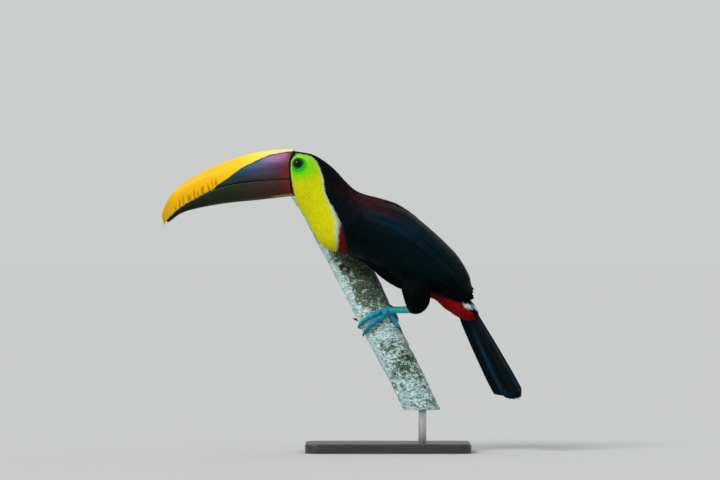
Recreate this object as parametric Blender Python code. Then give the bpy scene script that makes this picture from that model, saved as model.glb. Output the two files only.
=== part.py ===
"""A life-size yellow-throated toucan on a cut length of branch, held by a plain display stand.

The scene is in metres, and the values below are in millimetres. The bird looks along -X, its left side faces
-Y, +Z is up, and the origin is under the middle of the stand's base.
"""

import math

import bmesh
import bpy
import numpy as np

MM = 0.001
GAP = 0.35  # clearance left between pieces that touch
SIDES = ((-1, "left"), (1, "right"))

# Body: rings from the bill's base to the wing ends, each in a plane that leans back by its tilt.
# (middle x, middle z, half height, tilt in degrees, half width)
BODY = {
    "bill_base": (-118.0, 354.0, 28.0, 1, 19.0),
    "eye": (-112.0, 348.6, 32.4, 7, 23.5),
    "ear": (-103.0, 342.0, 37.0, 10, 25.5),
    "cheek": (-94.0, 333.6, 40.0, 13, 26.5),
    "nape": (-85.5, 324.0, 42.3, 16, 28.0),
    "upper_neck": (-77.0, 313.0, 43.2, 20, 30.0),
    "lower_neck": (-67.3, 301.6, 42.7, 22.5, 33.5),
    "breast": (-55.2, 292.7, 41.8, 24, 37.5),
    "shoulder": (-40.0, 288.6, 41.0, 25, 41.0),
    "mantle": (-22.0, 283.0, 42.0, 26, 43.0),
    "back": (-5.0, 275.0, 43.7, 27.5, 44.0),
    "belly": (12.0, 261.6, 45.0, 29.5, 43.5),
    "loin": (30.0, 247.7, 43.4, 32.5, 41.0),
    "rump": (50.0, 234.3, 39.0, 34.5, 36.5),
    "vent": (69.0, 223.0, 32.0, 35, 30.0),
    "tail_root": (84.4, 209.0, 24.6, 36, 24.0),
    "wing_tips": (95.5, 199.5, 18.0, 29, 19.5),
    "wing_ends": (106.4, 196.5, 10.5, 14, 15.0),
}
STATION = {name: i for i, name in enumerate(BODY)}
BODY_ROUNDNESS = 2.2  # 2 is an ellipse, more is squarer
BODY_SIDES = 24
HEAD_ENDS = STATION["cheek"] + 0.2
NECK_ENDS = STATION["lower_neck"] + 0.5
TRUNK_ENDS = STATION["tail_root"] + 0.6
SPLIT = 0.025  # share of a station left open at each parting, well over the gap
# The trunk's own back and flanks lie this much lower under the wings: (station, depth)
TRUNK_SINKS = ((11.0, 0.0), (12.0, 2.0), (13.0, 5.5), (14.0, 6.5), (16.0, 6.5))
FACE_BULGE = 7.0  # how far the face reaches forward along the sides of the bill's base

# Bill: rings from its base to its tip. (culmen x, z), (cutting edge x, z), (lower edge x, z), half width
BILL = [
    ((-117.5, 384.0), (-118.3, 346.5), (-118.7, 325.4), 19.6),
    ((-149.9, 381.9), (-149.9, 345.2), (-147.3, 322.0), 18.6),
    ((-180.5, 376.5), (-174.0, 343.2), (-170.2, 319.4), 17.2),
    ((-211.6, 366.3), (-196.8, 340.0), (-191.8, 317.4), 15.2),
    ((-239.9, 353.5), (-221.0, 333.0), (-214.6, 314.5), 12.6),
    ((-262.7, 339.1), (-245.1, 320.9), (-241.3, 309.5), 9.4),
    ((-278.4, 322.4), (-264.2, 309.4), (-262.3, 303.2), 6.0),
    ((-286.6, 303.7), (-278.8, 296.4), (-277.5, 292.6), 2.9),
]
BILL_HOOK = ((-286.8, 296.0), (-282.2, 291.8), 1.5)  # culmen, cutting edge, half width
BILL_TIP = (-284.3, 287.8)
BILL_RINGS = 18
BILL_SIDES = 12  # points over one mandible's outside
BILL_ROUNDNESS = 2.45
BILL_PARTING = 0.65  # clearance between the bill's base and the face
BILL_HOLLOW = 3.0  # how far the bill's back and the face behind it are each set back from the parting
BILL_FADE = 0.25  # share of the bill over which the curve of its base fades out
LOWER_BILL_WIDTH = 0.95  # share of the upper one's, inside whose edge it closes

EYE = {"x": -113.7, "y": 15.2, "z": 365.4, "radius": 7.2}

# Wing: its upper and lower edges as shares of the body's half height, its thickness, and how far its face
# stands proud of the body at its lower edge. The columns are at these body stations.
WING_AT = (6.95, 7.25, 8.0, 9.0, 10.0, 11.0, 12.0, 13.0, 14.0, 15.0, 16.0, 17.0)
WING_TOP = (-0.10, 0.20, 0.45, 0.62, 0.80, 0.93, 0.96, 0.97, 0.97, 0.965, 0.95, 0.90)
WING_LOW = (-0.55, -0.80, -0.92, -0.90, -0.80, -0.64, -0.54, -0.58, -0.68, -0.76, -0.80, -0.85)
WING_THICK = (2.8, 4.0, 6.0, 6.5, 6.5, 6.2, 5.6, 5.0, 4.2, 3.4, 2.4, 1.4)
WING_PROUD = 1.3
WING_LEAST = 2.1  # thickness at the edges
WING_EDGE = 0.22  # thickness at the edges, as a share of the middle's
WING_ROWS = 16
WING_SIDES = 9

# Thigh feathers: (middle x, middle y, z, half length along x, half width along y)
THIGH = (
    (38.0, 22.0, 226.0, 20.0, 13.0),
    (36.4, 24.0, 212.0, 20.8, 15.5),
    (36.5, 25.5, 199.4, 18.1, 15.0),
    (37.0, 26.0, 189.2, 15.5, 13.0),
    (36.0, 26.0, 181.6, 12.1, 10.5),
    (34.6, 25.5, 176.6, 7.2, 6.6),
)
THIGH_END = (34.4, 25.4, 174.8)
THIGH_ROWS = 8
THIGH_SIDES = 16

# Tail coverts: rings as the body's, from inside the rump to the tail.
COVERTS = (
    (67.0, 208.5, 14.5, 39, 14.0),
    (76.2, 199.3, 16.0, 38, 18.0),
    (87.0, 190.1, 15.2, 39, 18.5),
    (97.2, 181.6, 13.6, 38, 17.5),
    (104.8, 176.0, 10.8, 41, 15.5),
    (109.6, 172.0, 7.8, 46, 12.5),
    (112.6, 169.8, 3.6, 50, 8.0),
)
COVERTS_ROWS = 10
COVERTS_SIDES = 16
COVERTS_ROUNDNESS = 2.1

TAIL_ROOT = (92.2, 0.0, 196.9)
TAIL_TIP = (160.6, 0.0, 68.4)
TAIL_ROLL = 41.0  # the near edge is turned up and back
# (share of the length, half width, half thickness, sag of the edges below the middle)
TAIL = (
    (0.00, 13.5, 2.6, 0.8),
    (0.18, 20.0, 2.7, 1.8),
    (0.45, 24.5, 2.3, 2.8),
    (0.75, 27.2, 1.7, 3.2),
    (0.90, 27.6, 1.3, 3.0),
    (0.96, 25.0, 1.1, 2.4),
    (0.99, 19.0, 0.9, 1.6),
    (1.00, 10.0, 0.8, 0.6),
)
TAIL_SKEW = 5.0  # how far the near edge reaches beyond the middle at the tip, and the far edge falls short
TAIL_SIDES = 14
TAIL_ROUNDNESS = 2.6

# Perch: (x, y, z, radius) down its middle, from its cut top to its cut foot. It leans back behind the breast.
PERCH = (
    (-114.0, 78.0, 341.0, 17.5),
    (-94.0, 71.0, 311.1, 18.0),
    (-66.0, 58.5, 262.9, 20.3),
    (-39.4, 39.0, 221.0, 23.6),
    (-7.6, 11.0, 154.9, 22.6),
    (24.0, -3.0, 93.0, 21.0),
    (47.5, -10.0, 46.0, 20.6),
)
PERCH_ROWS = 17
PERCH_SIDES = 18
PERCH_FOOT_Z = 54.0  # the sawn foot is level
SAW = 110.0  # side of the block that the foot is cut off with

# Feet: where each toe lies on the perch. Angle 0 faces the near side, 90 the upper right of the branch.
# name: (start angle, end angle, start and end way down the branch, radius)
FOOT_Z = 167.5
FOOT_ANGLE = 38.0
TOES = {
    "inner_front": (32, -62, 0.5, 0.5, 3.1),
    "outer_front": (32, -56, 6.5, 12.0, 3.2),
    "outer_hind": (42, 56, 5.0, 24.0, 3.0),
    "inner_hind": (50, 69, 0.5, 8.0, 2.7),
}
TOE_TAPER = 0.3  # share of its radius that a toe loses by its claw
TOE_POINTS = 7
TOE_SIDES = 8
CLAW_LENGTH = 10.5
CLAW_BEND = 2.6
CLAW_RADIUS = 2.2
CLAW_SIDES = 7
ANKLE = (31.0, 25.4, 181.0)
SHANK_RADIUS = (3.4, 4.2)  # at the foot, at the ankle
SHANK_SIDES = 12
FOOT_BALL = 5.2
FOOT_BALL_DOWN = 2.5
FAR_FOOT_UP = 16.0  # the branch leans back, so the far foot grips it this much higher to stand as high

BASE = {"length": 210.0, "width": 132.0, "height": 12.0, "edge": 2.5, "corner": 18.0}
ROD = {"radius": 5.0, "x": 43.6, "y": -8.8, "sides": 20}


def clear_scene():
    for thing in list(bpy.data.objects):
        bpy.data.objects.remove(thing, do_unlink=True)


def material(name, colour, roughness, metallic=0.0):
    made = bpy.data.materials.new(name)
    made.use_nodes = True
    shader = made.node_tree.nodes["Principled BSDF"]
    shader.inputs["Base Color"].default_value = (*colour, 1.0)
    shader.inputs["Roughness"].default_value = roughness
    shader.inputs["Metallic"].default_value = metallic
    return made


def smooth_rows(rows, at):
    """Rows of numbers read at fractional places, along a Catmull-Rom curve through them."""
    rows = np.asarray(rows, float)
    at = np.clip(np.atleast_1d(at).astype(float), 0, len(rows) - 1)
    i = np.minimum(at.astype(int), len(rows) - 2)
    f = (at - i)[:, None]
    padded = np.vstack([2 * rows[0] - rows[1], rows, 2 * rows[-1] - rows[-2]])
    a, b, c, d = (padded[i + k] for k in range(4))
    return b + 0.5 * f * (c - a + f * (2 * a - 5 * b + 4 * c - d + f * (3 * (b - c) + d - a)))


def super_ellipse(angles, roundness):
    power = 2 / roundness
    c, s = np.cos(angles), np.sin(angles)
    return np.sign(c) * abs(c) ** power, np.sign(s) * abs(s) ** power


def ring(row, angles, grow=0.0, roundness=BODY_ROUNDNESS):
    """Points round one body ring. Angle 0 is the far side, 90 degrees the top and 180 the near side."""
    x, z, half_height, tilt, half_width = row
    lean = math.radians(tilt)
    across, up = super_ellipse(angles, roundness)
    up = up * (half_height + grow)
    return np.stack([x + up * math.sin(lean), across * (half_width + grow), z + up * math.cos(lean)], 1)


def body_ring(at, angles, grow=0.0, sinks=False):
    row = smooth_rows(list(BODY.values()), at)[0]
    if sinks:
        sink = np.interp(at, *np.array(TRUNK_SINKS).T)
        lean = math.radians(row[3])
        row += np.array([-sink / 2 * math.sin(lean), -sink / 2 * math.cos(lean), -sink / 2, 0.0, -sink])
    points = ring(row, angles, grow)
    forward = FACE_BULGE * max(0.0, 1 - at) ** 2
    points[:, 0] -= forward * (points[:, 1] / abs(points[:, 1]).max()) ** 2
    return points


def add_object(name, points, faces, finish, helper=False):
    """A mesh from points in millimetres, with its faces turned outwards."""
    mesh = bpy.data.meshes.new(name)
    mesh.from_pydata([tuple(float(c) * MM for c in p) for p in points], [], faces)
    shape = bmesh.new()
    shape.from_mesh(mesh)
    bmesh.ops.remove_doubles(shape, verts=shape.verts, dist=0.01 * MM)
    bmesh.ops.recalc_face_normals(shape, faces=shape.faces)
    shape.to_mesh(mesh)
    shape.free()
    mesh.shade_smooth()
    made = bpy.data.objects.new(name, mesh)
    bpy.context.scene.collection.objects.link(made)
    if finish is not None:
        mesh.materials.append(finish)
    if helper:
        made.hide_render = True
        made.display_type = "WIRE"
    return made


def loft(name, rings, finish, start=None, end=None, helper=False, crescent=False):
    """A closed skin through rings of equal counts. Each end is a fan to its middle, or to the point given.

    A crescent's rings run out along one side and back along the other, and its ends are strips between them.
    """
    rings = [np.asarray(r, float) for r in rings]
    count = len(rings[0])
    points = np.vstack(rings + [rings[0].mean(0) if start is None else start])
    points = np.vstack([points, rings[-1].mean(0) if end is None else end])
    first, last = len(points) - 2, len(points) - 1
    base = (len(rings) - 1) * count
    faces = []
    for k in range(count):
        following = (k + 1) % count
        for row in range(len(rings) - 1):
            a, b = row * count, (row + 1) * count
            faces.append((a + k, a + following, b + following, b + k))
        if not crescent:
            faces.append((first, following, k))
            faces.append((last, base + k, base + following))
    if crescent:
        points = points[:-2]
        for k in range(count // 2 - 1):
            strip = (k, k + 1, count - 2 - k, count - 1 - k)
            faces.append(strip)
            faces.append(tuple(base + i for i in reversed(strip)))
    return add_object(name, points, faces, finish, helper)


def tube(name, path, radii, sides, finish, end=None, helper=False):
    """Round rings along a path, each square to it."""
    path = np.asarray(path, float)
    along = np.gradient(path, axis=0)
    along /= np.linalg.norm(along, axis=1)[:, None]
    side = np.cross(along[0], (0.3, 0.2, 0.93))
    turns = np.linspace(0, 2 * math.pi, sides, endpoint=False)
    rings = []
    for centre, way, radius in zip(path, along, radii):
        side = side - way * (side @ way)
        side /= np.linalg.norm(side)
        other = np.cross(way, side)
        rings.append(centre + radius * (np.outer(np.cos(turns), side) + np.outer(np.sin(turns), other)))
    return loft(name, rings, finish, end=end, helper=helper)


def combine(target, other, operation="DIFFERENCE"):
    """Cuts another object from this one, or joins it on, and hides the other."""
    step = target.modifiers.new(operation.title() + " " + other.name, "BOOLEAN")
    step.operation = operation
    step.solver = "EXACT"
    step.object = other
    other.hide_render = True
    other.display_type = "WIRE"


def body_part(name, start, end, rows, finish, grow=0.0, helper=False, front=None):
    angles = np.linspace(0, 2 * math.pi, BODY_SIDES, endpoint=False)
    rings = [body_ring(t, angles, grow, sinks=True) for t in np.linspace(start, end, rows)]
    return loft(name, rings, finish, start=front, helper=helper)


def make_wing(name, side, finish, grow=0.0, helper=False):
    """A thin crescent laid on the body's flank, thinner at its edges and its tip. side is -1 for the left."""
    columns = np.array([WING_TOP, WING_LOW, WING_THICK], float).T
    places = np.linspace(WING_AT[0], WING_AT[-1], WING_ROWS)
    edge_grow = grow / BODY["rump"][2]
    middle = np.sin(np.linspace(0, math.pi, WING_SIDES)) ** 0.6
    rings = []
    for t in places:
        share = np.interp(t, WING_AT, range(len(WING_AT)))
        top, low, thick = smooth_rows(columns, share)[0]
        angles = np.linspace(math.asin(low - edge_grow), math.asin(top + edge_grow), WING_SIDES)
        proud = np.linspace(WING_PROUD, WING_PROUD * 0.7, WING_SIDES)
        depth = np.maximum(thick * (WING_EDGE + (1 - WING_EDGE) * middle), WING_LEAST) - proud + grow
        proud += grow
        out = np.array([body_ring(t, np.array([a]), p)[0] for a, p in zip(angles, proud)])
        into = np.array([body_ring(t, np.array([a]), -d)[0] for a, d in zip(angles, depth)])
        loop = np.vstack([out, into[::-1]])
        if t == places[0]:
            loop[:, 0] -= grow
        loop[:, 1] *= side
        rings.append(loop)
    return loft(name, rings, finish, helper=helper, crescent=True)


def make_body(finishes, wing_clear):
    """Head, neck and trunk, parted by thin cuts, with sockets for the eyes and beds for the wings."""
    x, z = BODY["bill_base"][:2]
    head = body_part("head", 0.0, HEAD_ENDS, 8, finishes["face skin"], front=(x + BILL_HOLLOW, 0, z))
    body_part("neck", HEAD_ENDS + SPLIT, NECK_ENDS, 8, finishes["yellow feather"])
    trunk = body_part("trunk", NECK_ENDS + SPLIT, TRUNK_ENDS, 17, finishes["black feather"])
    for side, word in SIDES:
        centre = (EYE["x"], side * EYE["y"], EYE["z"])
        make_ball("eye_" + word, centre, EYE["radius"], finishes["eye"])
        combine(head, make_ball("socket_" + word, centre, EYE["radius"] + GAP, None))
        combine(trunk, wing_clear[word])


def make_ball(name, centre, radius, finish):
    bpy.ops.mesh.primitive_uv_sphere_add(segments=14, ring_count=9, radius=radius * MM,
                                         location=[c * MM for c in centre], rotation=(math.pi / 2, 0, 0))
    made = bpy.context.object
    made.name = name
    made.data.shade_smooth()
    if finish is not None:
        made.data.materials.append(finish)
    return made


def bill_rows():
    """The bill's rings as rows: culmen, cutting edge, lower edge, half width."""
    table = [[*top, *middle, *low, width] for top, middle, low, width in BILL]
    return smooth_rows(table, np.linspace(0, len(table) - 1, BILL_RINGS))


def mandible_ring(edge, crest, half_width, forward):
    """Half a super-ellipse from one cutting edge over the crest to the other, closed by a flat row."""
    angles = np.linspace(0, math.pi, BILL_SIDES)
    across, up = super_ellipse(angles, BILL_ROUNDNESS)
    edge, crest = np.array(edge), np.array(crest)
    outside = edge + up[:, None] * (crest - edge)
    inside = np.array([edge] * 3)
    y = half_width * np.concatenate([across, (-0.5, 0, 0.5)])
    xz = np.vstack([outside, inside])
    x = xz[:, 0] - forward * (y / half_width) ** 2
    return np.stack([x, y, xz[:, 1]], 1)


def make_bill(finishes):
    """The two mandibles, meeting along the cutting edge. The upper one ends in a short hook."""
    rows = bill_rows()
    upper, lower = [], []
    for k, (tx, tz, mx, mz, bx, bz, width) in enumerate(rows):
        share = k / (BILL_RINGS - 1)
        forward = (FACE_BULGE + BILL_PARTING) * max(0.0, 1 - share / BILL_FADE) ** 2
        ahead = np.array((BILL_PARTING if k == 0 else 0.0, 0.0))
        culmen, edge, keel = np.array([(tx, tz), (mx, mz), (bx, bz)]) - ahead
        parting = (edge - culmen) / np.linalg.norm(edge - culmen) * GAP / 2
        upper.append(mandible_ring(edge - parting, culmen, width, forward))
        lower.append(mandible_ring(edge + parting, keel, width * LOWER_BILL_WIDTH, forward))
    hook_top, hook_edge, hook_width = BILL_HOOK
    upper.append(mandible_ring(hook_edge, hook_top, hook_width, 0.0))
    tip = (BILL_TIP[0], 0.0, BILL_TIP[1])
    (_, high), (x, middle), (_, low), _ = BILL[0]
    back = x - BILL_HOLLOW
    loft("bill_upper", upper, finishes["bill yellow"], start=(back, 0, (high + 2 * middle) / 3), end=tip)
    loft("bill_lower", lower, finishes["bill dark"], start=(back, 0, (low + 2 * middle) / 3))


def make_thighs(finishes, trunk_clear, wing_clear):
    turns = np.linspace(0, 2 * math.pi, THIGH_SIDES, endpoint=False)
    rows = smooth_rows(THIGH, np.linspace(0, len(THIGH) - 1, THIGH_ROWS))
    thighs = {}
    for side, word in SIDES:
        rings = []
        for x, y, z, length, width in rows:
            across = side * (y + width * np.sin(turns))
            rings.append(np.stack([x + length * np.cos(turns), across, np.full(THIGH_SIDES, z)], 1))
        end = (THIGH_END[0], side * THIGH_END[1], THIGH_END[2])
        thighs[word] = loft("thigh_" + word, rings, finishes["black feather"], end=end)
        combine(thighs[word], trunk_clear)
        combine(thighs[word], wing_clear[word])
    return thighs


def make_coverts(name, finish, grow=0.0, helper=False):
    turns = np.linspace(0, 2 * math.pi, COVERTS_SIDES, endpoint=False)
    rows = smooth_rows(COVERTS, np.linspace(0, len(COVERTS) - 1, COVERTS_ROWS))
    return loft(name, [ring(row, turns, grow, COVERTS_ROUNDNESS) for row in rows], finish, helper=helper)


def make_tail(finishes, trunk_clear, wing_clear):
    """The folded tail, turned about its own length, and the coverts over its root."""
    root, tip = np.array(TAIL_ROOT), np.array(TAIL_TIP)
    way = (tip - root) / np.linalg.norm(tip - root)
    up = np.array([-way[2], 0.0, way[0]])
    across = np.array([0.0, 1.0, 0.0])
    roll = math.radians(TAIL_ROLL)
    wide = math.cos(roll) * across - math.sin(roll) * up
    deep = math.cos(roll) * up + math.sin(roll) * across
    turns = np.linspace(0, 2 * math.pi, TAIL_SIDES, endpoint=False)
    out, height = super_ellipse(turns, TAIL_ROUNDNESS)
    rings = []
    for share, width, thick, sag in TAIL:
        centre = root + share * (tip - root)
        ring_points = centre + np.outer(width * out, wide) + np.outer(thick * height - sag * out**2, deep)
        rings.append(ring_points - np.outer(TAIL_SKEW * share**2 * out, way))
    tail = loft("tail", rings, finishes["black feather"])
    coverts = make_coverts("tail_coverts", finishes["red feather"])
    combine(tail, make_coverts("coverts_clear", None, GAP, helper=True))
    for piece in (tail, coverts):
        combine(piece, trunk_clear)
        for _, word in SIDES:
            combine(piece, wing_clear[word])


def perch_frame(z):
    """Where the branch's middle is at this height, its radius, and its directions down, near and right."""
    heights = [row[2] for row in PERCH]
    index = len(PERCH) - 1 - np.interp(z, heights[::-1], range(len(PERCH)))
    here = smooth_rows(PERCH, index)[0]
    later = smooth_rows(PERCH, index + 0.05)[0]
    sooner = smooth_rows(PERCH, index - 0.05)[0]
    along = (later - sooner)[:3]
    along /= np.linalg.norm(along)
    near = np.array([0.0, -1.0, 0.0])
    near -= along * (near @ along)
    near /= np.linalg.norm(near)
    return here[:3], here[3], along, near, np.cross(near, along)


def on_perch(angle, down, lift):
    """A point above the bark: angle round the branch, millimetres down it from the foot, and height."""
    start, _, along, _, _ = perch_frame(FOOT_Z)
    z = (start + along * down)[2]
    centre, radius, _, near, right = perch_frame(z)
    turn = math.radians(angle)
    return centre + (radius + lift) * (math.cos(turn) * near + math.sin(turn) * right)


def make_perch(finishes):
    turns = np.linspace(0, 2 * math.pi, PERCH_SIDES, endpoint=False)
    rings = []
    for x, y, z, radius in smooth_rows(PERCH, np.linspace(0, len(PERCH) - 1, PERCH_ROWS)):
        _, _, _, near, right = perch_frame(z)
        round_ring = np.outer(np.cos(turns), near) + np.outer(np.sin(turns), right)
        rings.append(np.array((x, y, z)) + radius * round_ring)
    perch = loft("perch", rings, finishes["bark"])
    bpy.ops.mesh.primitive_cube_add(size=SAW * MM)
    saw = bpy.context.object
    saw.name = "saw"
    saw.location = (ROD["x"] * MM, ROD["y"] * MM, (PERCH_FOOT_Z - SAW / 2) * MM)
    combine(perch, saw)


def make_foot(side, word, finishes, thigh):
    """A shank, and a foot of two toes forward and two back, gripping the branch, with its claws."""

    def round_branch(angle, down, lift):
        if side < 0:
            return on_perch(angle, down, lift)
        return on_perch(180 - angle, down - FAR_FOOT_UP, lift)

    scale = finishes["blue scale"]
    ball = round_branch(FOOT_ANGLE, FOOT_BALL_DOWN, FOOT_BALL + GAP)
    foot = make_ball("foot_" + word, ball, FOOT_BALL, scale)
    ankle = np.array([ANKLE[0], side * ANKLE[1], ANKLE[2]])
    way = (ankle - ball) / np.linalg.norm(ankle - ball)
    heel = ball + way * (FOOT_BALL * 0.8)
    line = [heel, (heel + ankle) / 2, ankle]
    radii = np.linspace(*SHANK_RADIUS, len(line))
    shank = tube("shank_" + word, line, radii, SHANK_SIDES, scale)
    combine(shank, make_ball("ball_bed_" + word, ball, FOOT_BALL + GAP, None))
    line[-1] = ankle + way * GAP
    combine(thigh, tube("shank_bed_" + word, line, radii + GAP, SHANK_SIDES, None, helper=True))
    for toe, (first, last, down, end_down, radius) in TOES.items():
        shares = np.linspace(0, 1, TOE_POINTS)
        radii = radius * (1 - TOE_TAPER * shares)
        lifts = radii + 0.12 * radius + GAP
        rows = zip(first + (last - first) * shares, down + (end_down - down) * shares, lifts)
        path = [round_branch(*row) for row in rows]
        path[0] = path[0] * 0.35 + ball * 0.65
        combine(foot, tube(f"toe_{toe}_{word}", path, radii, TOE_SIDES, scale, helper=True), "UNION")
        make_claw(f"claw_{toe}_{word}", path, radii[-1], finishes["claw"])
        if toe.endswith("hind"):
            combine(shank, tube(f"{toe}_bed_{word}", path, radii + GAP, TOE_SIDES, None, helper=True))


def make_claw(name, path, radius, finish):
    """A curved cone that carries on from the toe's end and bends in towards the bark."""
    way = (path[-1] - path[-2]) / np.linalg.norm(path[-1] - path[-2])
    bend = path[-1] - 2 * path[-2] + path[-3]
    bend -= way * (bend @ way)
    bend /= np.linalg.norm(bend)
    start = path[-1] + way * GAP
    shares = np.linspace(0, 0.9, 4)
    line = [start + way * CLAW_LENGTH * f + bend * CLAW_BEND * f**2 for f in shares]
    radii = min(CLAW_RADIUS, radius * 0.9) * (1 - shares**1.4)
    tip = start + way * CLAW_LENGTH + bend * CLAW_BEND
    tube(name, line, radii, CLAW_SIDES, finish, end=tip)


def make_stand(finishes):
    """A flat base with eased corners and edges, and one upright rod to the perch's sawn foot."""
    bpy.ops.mesh.primitive_cube_add(size=1, location=(0, 0, BASE["height"] / 2 * MM))
    base = bpy.context.object
    base.name = "stand_base"
    base.dimensions = (BASE["length"] * MM, BASE["width"] * MM, BASE["height"] * MM)
    bpy.ops.object.transform_apply(location=False, rotation=False, scale=True)
    base.data.materials.append(finishes["stand paint"])
    shape = bmesh.new()
    shape.from_mesh(base.data)
    upright = [e for e in shape.edges if abs(e.verts[0].co.z - e.verts[1].co.z) > 0.001]
    bmesh.ops.bevel(shape, geom=upright, offset=BASE["corner"] * MM, segments=6, affect="EDGES", profile=0.5)
    rim = [e for e in shape.edges if all(v.co.z > 0 for v in e.verts) and e.calc_face_angle() > 1]
    bmesh.ops.bevel(shape, geom=rim, offset=BASE["edge"] * MM, segments=2, affect="EDGES", profile=0.5)
    shape.to_mesh(base.data)
    shape.free()
    bottom, top = BASE["height"] + GAP, PERCH_FOOT_Z - GAP
    radius, depth = ROD["radius"] * MM, (top - bottom) * MM
    bpy.ops.mesh.primitive_cylinder_add(vertices=ROD["sides"], radius=radius, depth=depth)
    rod = bpy.context.object
    rod.name = "stand_rod"
    rod.location = (ROD["x"] * MM, ROD["y"] * MM, (top + bottom) / 2 * MM)
    rod.data.materials.append(finishes["steel"])


def main():
    clear_scene()
    finishes = {
        "black feather": material("black feather", (0.012, 0.013, 0.018), 0.45),
        "yellow feather": material("yellow feather", (0.85, 0.72, 0.02), 0.7),
        "red feather": material("red feather", (0.55, 0.01, 0.01), 0.65),
        "face skin": material("face skin", (0.45, 0.75, 0.03), 0.5),
        "bill yellow": material("bill yellow", (0.90, 0.62, 0.02), 0.25),
        "bill dark": material("bill dark", (0.07, 0.03, 0.025), 0.25),
        "eye": material("eye", (0.01, 0.012, 0.01), 0.05),
        "blue scale": material("blue scale", (0.03, 0.38, 0.60), 0.45),
        "claw": material("claw", (0.03, 0.03, 0.035), 0.35),
        "bark": material("bark", (0.55, 0.56, 0.50), 0.9),
        "stand paint": material("stand paint", (0.03, 0.03, 0.03), 0.5),
        "steel": material("steel", (0.55, 0.55, 0.56), 0.3, 1.0),
    }
    wing_clear = {}
    for side, word in SIDES:
        make_wing("wing_" + word, side, finishes["black feather"])
        wing_clear[word] = make_wing("wing_clear_" + word, side, None, GAP, helper=True)
    trunk_clear = body_part("trunk_clear", NECK_ENDS + SPLIT, TRUNK_ENDS + SPLIT, 17, None, GAP, helper=True)
    make_body(finishes, wing_clear)
    make_bill(finishes)
    thighs = make_thighs(finishes, trunk_clear, wing_clear)
    make_tail(finishes, trunk_clear, wing_clear)
    make_perch(finishes)
    for side, word in SIDES:
        make_foot(side, word, finishes, thighs[word])
    make_stand(finishes)


main()
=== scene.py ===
import math

import bmesh
import bpy
import numpy as np
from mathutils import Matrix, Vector, noise
from mathutils.bvhtree import BVHTree


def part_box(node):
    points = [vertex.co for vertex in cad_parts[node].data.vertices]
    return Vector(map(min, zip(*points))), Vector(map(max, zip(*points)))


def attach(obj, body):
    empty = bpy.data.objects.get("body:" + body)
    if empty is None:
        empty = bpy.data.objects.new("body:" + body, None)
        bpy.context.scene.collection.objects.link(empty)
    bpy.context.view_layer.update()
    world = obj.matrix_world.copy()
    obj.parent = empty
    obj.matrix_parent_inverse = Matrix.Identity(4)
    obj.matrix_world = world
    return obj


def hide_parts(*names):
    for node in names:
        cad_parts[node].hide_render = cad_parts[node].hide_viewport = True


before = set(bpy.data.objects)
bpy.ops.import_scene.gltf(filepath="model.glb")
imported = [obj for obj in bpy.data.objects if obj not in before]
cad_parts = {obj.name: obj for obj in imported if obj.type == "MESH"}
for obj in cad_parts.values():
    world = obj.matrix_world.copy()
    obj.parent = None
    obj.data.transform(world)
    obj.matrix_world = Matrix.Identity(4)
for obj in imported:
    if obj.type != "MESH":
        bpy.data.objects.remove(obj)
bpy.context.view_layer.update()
mm = 0.001
sides = ((-1, "left"), (1, "right"))
chance = np.random.default_rng(11)  # every random choice comes from here, so each run is the same


def smoothRows(rows, at):  # rows of numbers read at fractional places, on a smooth curve through them
    rows = np.asarray(rows, float)
    at = np.clip(np.atleast_1d(at).astype(float), 0, len(rows) - 1)
    i = np.minimum(at.astype(int), len(rows) - 2)
    f = (at - i).reshape(-1, *[1] * (rows.ndim - 1))
    padded = np.concatenate([[2 * rows[0] - rows[1]], rows, [2 * rows[-1] - rows[-2]]])
    a, b, c, d = (padded[i + k] for k in range(4))
    return b + 0.5 * f * (c - a + f * (2 * a - 5 * b + 4 * c - d + f * (3 * (b - c) + d - a)))


def unit(v):
    return v / np.maximum(np.linalg.norm(v, axis=-1, keepdims=True), 1e-12)


def ease(low, high, x):  # 0 below low, 1 above high, smooth between
    t = np.clip((x - low) / (high - low), 0, 1)
    return t * t * (3 - 2 * t)


def roundedPair(angles, roundness):  # across and up on a superellipse
    c, s = np.cos(angles), np.sin(angles)
    return np.sign(c) * abs(c) ** (2 / roundness), np.sign(s) * abs(s) ** (2 / roundness)


def only(piece):
    bpy.ops.object.select_all(action="DESELECT")
    piece.select_set(True)
    bpy.context.view_layer.objects.active = piece


def readAll(items, name, width):  # a property of all items, as rows of numbers
    flat = np.empty(len(items) * width)
    items.foreach_get(name, flat)
    return flat.reshape(-1, width)


def pointsOf(piece):
    return readAll(piece.data.vertices, "co", 3)


def normalsOf(piece):
    return readAll(piece.data.vertex_normals, "vector", 3)


def setPoints(piece, points):
    piece.data.vertices.foreach_set("co", np.ascontiguousarray(points, np.float32).ravel())
    piece.data.update()


def paintPoints(piece, name, colours):  # a colour for each vertex
    layer = piece.data.color_attributes.new(name, "FLOAT_COLOR", "POINT")
    rgba = np.ones((len(colours), 4), np.float32)
    rgba[:, :3] = colours
    layer.data.foreach_set("color", rgba.ravel())


def numberPoints(piece, name, values):  # a number for each vertex
    layer = piece.data.attributes.new(name, "FLOAT", "POINT")
    layer.data.foreach_set("value", np.ascontiguousarray(values, np.float32))


def applied(piece, kind, **values):  # adds a modifier and applies it
    step = piece.modifiers.new(kind.title(), kind)
    for name, value in values.items():
        setattr(step, name, value)
    only(piece)
    bpy.ops.object.modifier_apply(modifier=step.name)
    return piece


def smoothShaded(piece, degrees=None):
    only(piece)
    if degrees is None:
        bpy.ops.object.shade_smooth()
    else:
        bpy.ops.object.shade_smooth_by_angle(angle=math.radians(degrees))
    return piece


def editAll(piece):  # into edit mode with everything selected
    only(piece)
    bpy.ops.object.mode_set(mode="EDIT")
    bpy.ops.mesh.select_all(action="SELECT")


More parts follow.
